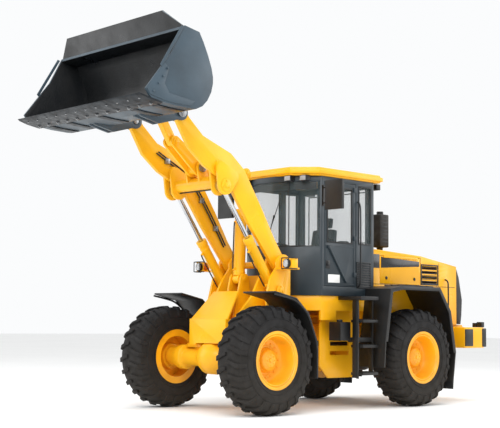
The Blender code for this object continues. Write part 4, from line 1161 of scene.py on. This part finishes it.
def build_cab():
    dressed("cab_frame", "rear_body", "cab_coat", 0.006)
    dressed("cab_roof", "rear_body", "enamel", 0.016, 3)
    for node in ("windshield", "rear_window", "quarter_window_left", "quarter_window_right",
                 "side_window_right"):
        dressed(node, "rear_body", "glass", 0.0)
    cap = joined([cut_plate([(0.20, 0.34), (0.20, -0.34), (-0.78, -0.34), (-0.78, 0.34)], 3.553, 3.575,
                            "XY", 0.012),
                  block(at(-0.98, -0.22, 3.553), at(-0.84, 0.22, 3.583), 0.010)])
    shown(cap, "roof_raised_panel", "rear_body", "enamel")
    for sign, side in SIDES:
        cab_seal(at(-0.918, sign * CAB_SIDE, 2.447), at(-0.622, sign * SEAL_OUT, 3.348), 0.020, 1,
                 "quarter_seal_" + side)
    cab_seal(at(-0.523, -SEAL_OUT, 2.447), at(0.153, -CAB_SIDE, 3.348), 0.020, 1, "side_seal_right")
    cab_seal(at(-1.0405, -0.64, 2.50), at(-1.030, 0.64, 3.31), 0.018, 0, "rear_seal")
    butts = []
    for sign, _ in SIDES:
        corner = at(0.503, sign * 0.418, 0)
        butts.append(bar(corner + Vector((0.002, 0, 2.385)), corner + Vector((0.002, 0, 3.34)), 0.008, 12,
                         0.0))
    shown(joined(butts), "windshield_joints", "rear_body", "epdm")

    def lower_seal(sign):
        path = [(0.216, 0.742), (0.345, 0.612), (0.425, 0.542), (0.505, 0.42), (0.573, 0.18), (0.576, 0)]
        return [tube([at(x, sign * y, 2.383) for x, y in path], 0.011, 2)]

    paired(lower_seal, "windshield_lower_seal", "rear_body", "epdm")

    def visor(sign):
        outline = [(0.240, 0.735), (0.400, 0.548), (0.485, 0.415), (0.552, 0.18), (0.552, 0.0)]
        outline += [(0.540, 0.0), (0.540, 0.175), (0.474, 0.405), (0.390, 0.536), (0.232, 0.722)]
        return [cut_plate([(x, sign * y) for x, y in outline], 3.225, 3.343, "XY", 0.001)]

    paired(visor, "sun_visor_band", "rear_body", "moulded_black")

    def louvres(sign):
        made = [rim_frame(at(-0.905, sign * CAB_SIDE, 1.785), at(-0.575, sign * 0.810, 2.185), 0.016, 1)]
        for i in range(10):
            z = 1.812 + i * 0.036
            slat = [(0.8005, z + 0.018), (0.812, z), (0.812, z + 0.006), (0.8005, z + 0.025)]
            made.append(side_plate(slat, -0.892, -0.588, sign, 0.001))
        return made

    paired(louvres, "cab_louvres", "rear_body", "chassis_black")
    for i, y in enumerate((0.66, 0.44, -0.44, -0.66)):
        x = 0.43 if abs(y) > 0.5 else 0.53
        lamp_box(at(x - 0.06, y - 0.065, 3.345), at(x + 0.035, y + 0.065, 3.428), 1,
                 "roof_lamp_%d" % (i + 1), "rear_body")
    for sign, side in SIDES:
        low, high = ordered(sign * 0.635, sign * 0.765)
        lamp_box(at(-1.185, low, 3.335), at(-1.09, high, 3.425), -1, "rear_roof_lamp_" + side, "rear_body")
    wiper = [bar(at(0.585, 0.06, 2.40), at(0.612, 0.06, 2.40), 0.028, 24, 0.006)]
    wiper += [tube([at(0.606, 0.06, 2.40), at(0.610, 0.12, 2.58), at(0.606, 0.20, 2.83)], 0.007, 2)]
    wiper += [tube([at(0.585, 0.10, 2.62), at(0.587, 0.20, 2.83), at(0.585, 0.30, 3.06)], 0.006, 2)]
    wiper += [block(at(0.586, 0.185, 2.81), at(0.609, 0.215, 2.85), 0.004)]
    shown(joined(wiper), "wiper", "rear_body", "epdm")
    dressed("door_left", "cab_door", "cab_coat", 0.004)
    dressed("door_glass", "cab_door", "glass", 0.0)
    cab_seal(at(-0.483, 0.7985, 2.447), at(0.088, 0.8045, 3.293), 0.022, 1, "door_seal", "cab_door")
    handle = [block(at(0.02, 0.798, 2.06), at(0.11, 0.806, 2.18), 0.004),
              block(at(0.035, 0.806, 2.10), at(0.095, 0.824, 2.14), 0.006, 3),
              bar(at(0.065, 0.806, 2.155), at(0.065, 0.812, 2.155), 0.012, 20, 0.002)]
    shown(joined(handle), "door_handle", "cab_door", "chassis_black")
    label = block(at(-0.20, 0.7982, 1.855), at(0.055, 0.8000, 1.975), 0.0008, 2)
    shown(label, "door_blank_plate", "cab_door", "blank_label")
    seam = rim_frame(at(-0.520, 0.7978, 1.835), at(0.110, 0.8010, 2.405), 0.007, 1)
    shown(seam, "door_lower_bead", "cab_door", "cab_coat")

    rail = [(-0.600, 0.802, 1.80), (-0.604, 0.852, 1.82), (-0.604, 0.862, 2.0), (-0.604, 0.862, 2.9),
            (-0.604, 0.852, 3.08), (-0.600, 0.802, 3.10)]
    shown(tube([at(*place) for place in rail], 0.012, 3), "cab_grab_rail", "rear_body", "chassis_black")
    for sign, side in SIDES:
        dressed("mirror_" + side, "rear_body", "chassis_black", 0.012, 3)
        low, high = ordered(sign * 1.015, sign * 1.315)
        shown(block(at(0.2965, low, 2.92), at(0.3005, high, 3.31), 0.0015), "mirror_glass_" + side,
              "rear_body", "mirror")


def cushion(low, high, rows=3):
    """A foam cushion: crowned faces, sides pulled in between the corners, and sewn channels."""
    low, high = Vector(low), Vector(high)
    bpy.ops.object.select_all(action="DESELECT")
    bpy.ops.mesh.primitive_cube_add(size=2)
    obj = bpy.context.active_object
    bpy.ops.object.mode_set(mode="EDIT")
    bpy.ops.mesh.select_all(action="SELECT")
    bpy.ops.mesh.subdivide(number_cuts=23)
    bpy.ops.object.mode_set(mode="OBJECT")
    size = (high - low) / 2
    middle = (high + low) / 2
    thin = min(range(3), key=lambda axis: size[axis])
    for vertex in obj.data.vertices:
        co = vertex.co
        flat = [axis for axis in range(3) if axis != thin]
        edge = max(abs(co[flat[0]]), abs(co[flat[1]]))
        swell = (1 - edge ** 4) ** 0.5 if edge < 1 else 0.0
        place = Vector(co)
        place[thin] *= 0.55 + 0.45 * swell
        pull = 1 - 0.05 * (co[flat[0]] * co[flat[1]]) ** 2
        for axis in flat:
            place[axis] *= pull
        if rows and abs(co[thin]) > 0.98:
            along_rows = co[flat[1]]
            place[thin] *= 1 - 0.10 * max(0.0, 1 - abs(math.sin(along_rows * math.pi * rows / 2)) * 9)
        vertex.co = Vector([middle[i] + place[i] * size[i] for i in range(3)])
    smooth = obj.modifiers.new("smooth", "SMOOTH")
    smooth.factor = 0.5
    smooth.iterations = 3
    return softened(apply_all(settle(obj)), 0)


def lean(obj, pivot, degrees):
    turn = Matrix.Rotation(math.radians(degrees), 4, "Y")
    obj.data.transform(Matrix.Translation(pivot) @ turn @ Matrix.Translation(-pivot))
    return obj


def build_cabin():
    pivot = at(-0.60, 0, 2.12)
    seat = cushion(at(-0.66, -0.25, 2.03), at(-0.12, 0.25, 2.165))
    shown(seat, "seat_cushion", "rear_body", "seat_cloth", ("seat",))
    back = lean(cushion(at(-0.705, -0.24, 2.13), at(-0.585, 0.24, 2.74)), pivot, -9)
    shown(back, "seat_back", "rear_body", "seat_cloth")
    head = lean(cushion(at(-0.69, -0.13, 2.76), at(-0.60, 0.13, 2.92), 0), pivot, -9)
    shown(head, "head_rest", "rear_body", "seat_cloth")
    base = [block(at(-0.60, -0.20, 1.721), at(-0.20, 0.20, 1.80), 0.010),
            block(at(-0.56, -0.16, 1.80), at(-0.24, 0.16, 1.97), 0.030, 3),
            block(at(-0.62, -0.22, 1.97), at(-0.18, 0.22, 2.035), 0.012)]
    for sign in (1, -1):
        base.append(side_block(-0.52, -0.20, 0.285, 0.335, 2.26, 2.31, sign, 0.014))
        base.append(side_block(-0.53, -0.47, 0.255, 0.300, 2.03, 2.29, sign, 0.010))
    shown(joined(base), "seat_base", "rear_body", "moulded_black")
    bpy.ops.object.select_all(action="DESELECT")
    rim_at = at(0.20, 0, 2.385)
    bpy.ops.mesh.primitive_torus_add(location=rim_at, rotation=(0, math.radians(-18), 0),
                                     major_radius=0.185,
                                     minor_radius=0.014, major_segments=48, minor_segments=12)
    wheel = [settle(bpy.context.active_object)]
    tilt = Matrix.Rotation(math.radians(-18), 3, "Y")
    for turn in (90, 210, 330):
        angle = math.radians(turn)
        way = tilt @ Vector((math.cos(angle), math.sin(angle), 0))
        wheel.append(bar(rim_at + Vector((0.01, 0, -0.03)), rim_at + way * 0.18, 0.010, 14, 0.002))
    wheel.append(bar(rim_at + Vector((0.012, 0, -0.045)), rim_at + Vector((-0.004, 0, -0.008)), 0.045, 28,
                     0.008))
    wheel.append(bar(at(0.33, 0, 1.76), rim_at + Vector((0.012, 0, -0.04)), 0.036, 24, 0.004))
    wheel.append(block(at(0.25, -0.21, 1.721), at(0.41, 0.21, 2.12), 0.030, 3))
    wheel.append(block(at(0.24, -0.16, 2.12), at(0.36, 0.16, 2.235), 0.028, 3))
    shown(joined(wheel), "steering_wheel", "rear_body", "moulded_black", ("steering_column",))
    console = [block(at(-0.55, -0.62, 1.721), at(0.10, -0.36, 2.22), 0.030, 3),
               block(at(-0.30, -0.56, 2.22), at(-0.05, -0.42, 2.27), 0.016, 3)]
    for y in (-0.53, -0.46):
        console.append(bar(at(-0.12, y, 2.26), at(-0.12, y, 2.36), 0.006, 12, 0.001))
        console.append(bar(at(-0.12, y, 2.355), at(-0.12, y, 2.395), 0.014, 18, 0.007))
    shown(joined(console), "cab_console", "rear_body", "moulded_black")


# Stage


def build_stage():
    """A pale studio floor, soft light from above and both sides, and the camera."""
    scene = bpy.context.scene
    bpy.ops.object.select_all(action="DESELECT")
    bpy.ops.mesh.primitive_grid_add(x_subdivisions=8, y_subdivisions=8, size=160, location=(0, 0, -0.001))
    floor = settle(bpy.context.active_object)
    floor.name = "studio_floor"
    # Matt white vinyl studio floor, very slightly uneven in tone.
    floor.data.materials.append(surface("matt_vinyl_floor", linear("#FBFBFA"),
                                        {"Roughness": 0.9, "IOR": 1.4},
                                        mottle=0.01, patch_mm=3000, grit_mm=60, grit=0.0))
    world = bpy.data.worlds.new("studio_air")
    world.use_nodes = True
    world.node_tree.nodes.clear()
    white = linear("#FBFCFD")
    air = add_node(world.node_tree, "ShaderNodeBackground",
                   {"Color": white, "Strength": scene.loader_detail.air})
    sweep = add_node(world.node_tree, "ShaderNodeBackground",
                     {"Color": white, "Strength": scene.loader_detail.sweep})
    seen = add_node(world.node_tree, "ShaderNodeLightPath").outputs["Is Camera Ray"]
    both = add_node(world.node_tree, "ShaderNodeMixShader",
                    links={0: seen, 1: air.outputs[0], 2: sweep.outputs[0]})
    add_node(world.node_tree, "ShaderNodeOutputWorld", links={"Surface": both.outputs[0]})
    scene.world = world
    scene.view_settings.view_transform = "Standard"
    lamps = (("key", (9, 7, 10), 9.0, 2600), ("fill", (10, -9, 6), 9.0, 800),
             ("sky", (-3, 0, 13), 10.0, 1300),
             ("back", (-11, 6, 6), 7.0, 700))
    for name, place, size, power in lamps:
        way = (Vector((0, 0, 2.0)) - Vector(place)).to_track_quat("-Z", "Y").to_euler()
        bpy.ops.object.light_add(type="AREA", location=place, rotation=way)
        lamp = bpy.context.active_object
        lamp.name = "lamp_" + name
        lamp.data.size = size
        lamp.data.energy = power * scene.loader_detail.light
    yaw, pitch, roll = 3.95206, 0.094348, 0.010253
    place = at(12.5735, 12.2714, 1.2550)
    ahead = Vector((math.cos(yaw) * math.cos(pitch), math.sin(yaw) * math.cos(pitch), math.sin(pitch)))
    right = ahead.cross(Vector((0, 0, 1))).normalized()
    up = right.cross(ahead)
    right, up = right * math.cos(roll) + up * math.sin(roll), up * math.cos(roll) - right * math.sin(roll)
    bpy.ops.object.camera_add(location=place, rotation=Matrix((right, up, -ahead)).transposed().to_euler())
    camera = bpy.context.active_object
    camera.data.lens = 82.45
    camera.data.sensor_width = 36.0
    camera.data.clip_end = 300.0
    scene.camera = camera


# The add-on


def colour_property(name, description, hex_colour):
    return bpy.props.FloatVectorProperty(name=name, description=description, subtype="COLOR", size=3,
                                         min=0, max=1,
                                         default=linear(hex_colour)[:3])


class LoaderPaint(bpy.types.PropertyGroup):
    body: colour_property("Body enamel", "Colour of the hood, frames and roof", "#F7B20E")
    arms: colour_property("Arm enamel", "Colour of the boom, crank and cylinders", "#FAB918")
    wheels: colour_property("Wheel enamel", "Colour of the rims", "#F7AC0C")
    bucket: colour_property("Bucket paint", "Colour of the bucket's outside", "#34444F")
    cab: colour_property("Cab coat", "Colour of the cab's posts and door", "#1F2B32")
    tyres: colour_property("Tyre rubber", "Colour of the tyres", "#151517")


class LoaderDetail(bpy.types.PropertyGroup):
    lug_count: bpy.props.IntProperty(name="Lugs a side", description="Tread lugs on each half of a tyre",
                                     default=24, min=12,
                                     max=36)
    lug_width: bpy.props.FloatProperty(name="Lug width",
                                       description="Width of a lug against its normal width", default=1.15,
                                       min=0.5, max=2.5, subtype="FACTOR")
    light: bpy.props.FloatProperty(name="Studio light", description="Strength of the studio lamps",
                                   default=0.48, min=0.0,
                                   max=5.0, subtype="FACTOR")
    air: bpy.props.FloatProperty(name="Room light", description="Strength of the even light of the room",
                                 default=0.9, min=0.0,
                                 max=5.0, subtype="FACTOR")
    sweep: bpy.props.FloatProperty(name="Backdrop",
                                   description="Brightness of the backdrop behind the loader",
                                   default=1.0, min=0.0, max=5.0, subtype="FACTOR")


class LOADER_OT_wheels(bpy.types.Operator):
    """Models the tyres and rims"""

    bl_idname = "loader.wheels"
    bl_label = "Wheels"

    def execute(self, context):
        build_wheels()
        return {"FINISHED"}


class LOADER_OT_bucket(bpy.types.Operator):
    """Finishes the bucket and its wearing parts"""

    bl_idname = "loader.bucket"
    bl_label = "Bucket"

    def execute(self, context):
        build_bucket()
        return {"FINISHED"}


class LOADER_OT_arms(bpy.types.Operator):
    """Finishes the boom, crank, link and their pins"""

    bl_idname = "loader.arms"
    bl_label = "Arms"

    def execute(self, context):
        build_arms()
        return {"FINISHED"}


class LOADER_OT_cylinders(bpy.types.Operator):
    """Finishes the lift, tilt and steering cylinders"""

    bl_idname = "loader.cylinders"
    bl_label = "Cylinders"

    def execute(self, context):
        build_cylinders()
        return {"FINISHED"}


class LOADER_OT_front(bpy.types.Operator):
    """Finishes the front frame, its fenders and lamps"""

    bl_idname = "loader.front"
    bl_label = "Front frame"

    def execute(self, context):
        build_front()
        return {"FINISHED"}


class LOADER_OT_rear(bpy.types.Operator):
    """Finishes the rear frame, counterweight, fenders and ladders"""

    bl_idname = "loader.rear"
    bl_label = "Rear frame"

    def execute(self, context):
        build_rear()
        return {"FINISHED"}


class LOADER_OT_hood(bpy.types.Operator):
    """Finishes the hood, its doors, grilles and stacks"""

    bl_idname = "loader.hood"
    bl_label = "Hood"

    def execute(self, context):
        build_hood()
        return {"FINISHED"}


class LOADER_OT_cab(bpy.types.Operator):
    """Finishes the cab, its glass, door, lamps and mirrors"""

    bl_idname = "loader.cab"
    bl_label = "Cab"

    def execute(self, context):
        build_cab()
        return {"FINISHED"}


class LOADER_OT_cabin(bpy.types.Operator):
    """Models the seat, steering wheel and console"""

    bl_idname = "loader.cabin"
    bl_label = "Cabin"

    def execute(self, context):
        build_cabin()
        return {"FINISHED"}


class LOADER_OT_stage(bpy.types.Operator):
    """Sets the floor, the lights and the camera"""

    bl_idname = "loader.stage"
    bl_label = "Stage"

    def execute(self, context):
        build_stage()
        return {"FINISHED"}


OPERATORS = (LOADER_OT_stage, LOADER_OT_wheels, LOADER_OT_bucket, LOADER_OT_arms, LOADER_OT_cylinders,
             LOADER_OT_front,
             LOADER_OT_rear, LOADER_OT_hood, LOADER_OT_cab, LOADER_OT_cabin)


class LOADER_PT_panel(bpy.types.Panel):
    """Lists the loader's pieces, sizes and colours"""

    bl_idname = "LOADER_PT_panel"
    bl_label = "Loader"
    bl_space_type = "VIEW_3D"
    bl_region_type = "UI"
    bl_category = "Loader"

    def draw(self, context):
        layout = self.layout
        for group in (context.scene.loader_paint, context.scene.loader_detail):
            for key in group.__annotations__:
                layout.prop(group, key)
        for operator in OPERATORS:
            layout.operator(operator.bl_idname)


CLASSES = (LoaderPaint, LoaderDetail, *OPERATORS, LOADER_PT_panel)


def register():
    for item in CLASSES:
        bpy.utils.register_class(item)
    bpy.types.Scene.loader_paint = bpy.props.PointerProperty(type=LoaderPaint)
    bpy.types.Scene.loader_detail = bpy.props.PointerProperty(type=LoaderDetail)


def unregister():
    del bpy.types.Scene.loader_detail
    del bpy.types.Scene.loader_paint
    for item in reversed(CLASSES):
        bpy.utils.unregister_class(item)


def main():
    register()
    FINISHES.update(make_finishes())
    bpy.ops.loader.stage()
    bpy.ops.loader.wheels()
    bpy.ops.loader.bucket()
    bpy.ops.loader.arms()
    bpy.ops.loader.cylinders()
    bpy.ops.loader.front()
    bpy.ops.loader.rear()
    bpy.ops.loader.hood()
    bpy.ops.loader.cab()
    bpy.ops.loader.cabin()
    bpy.ops.object.select_all(action="DESELECT")


if __name__ == "__main__":
    main()
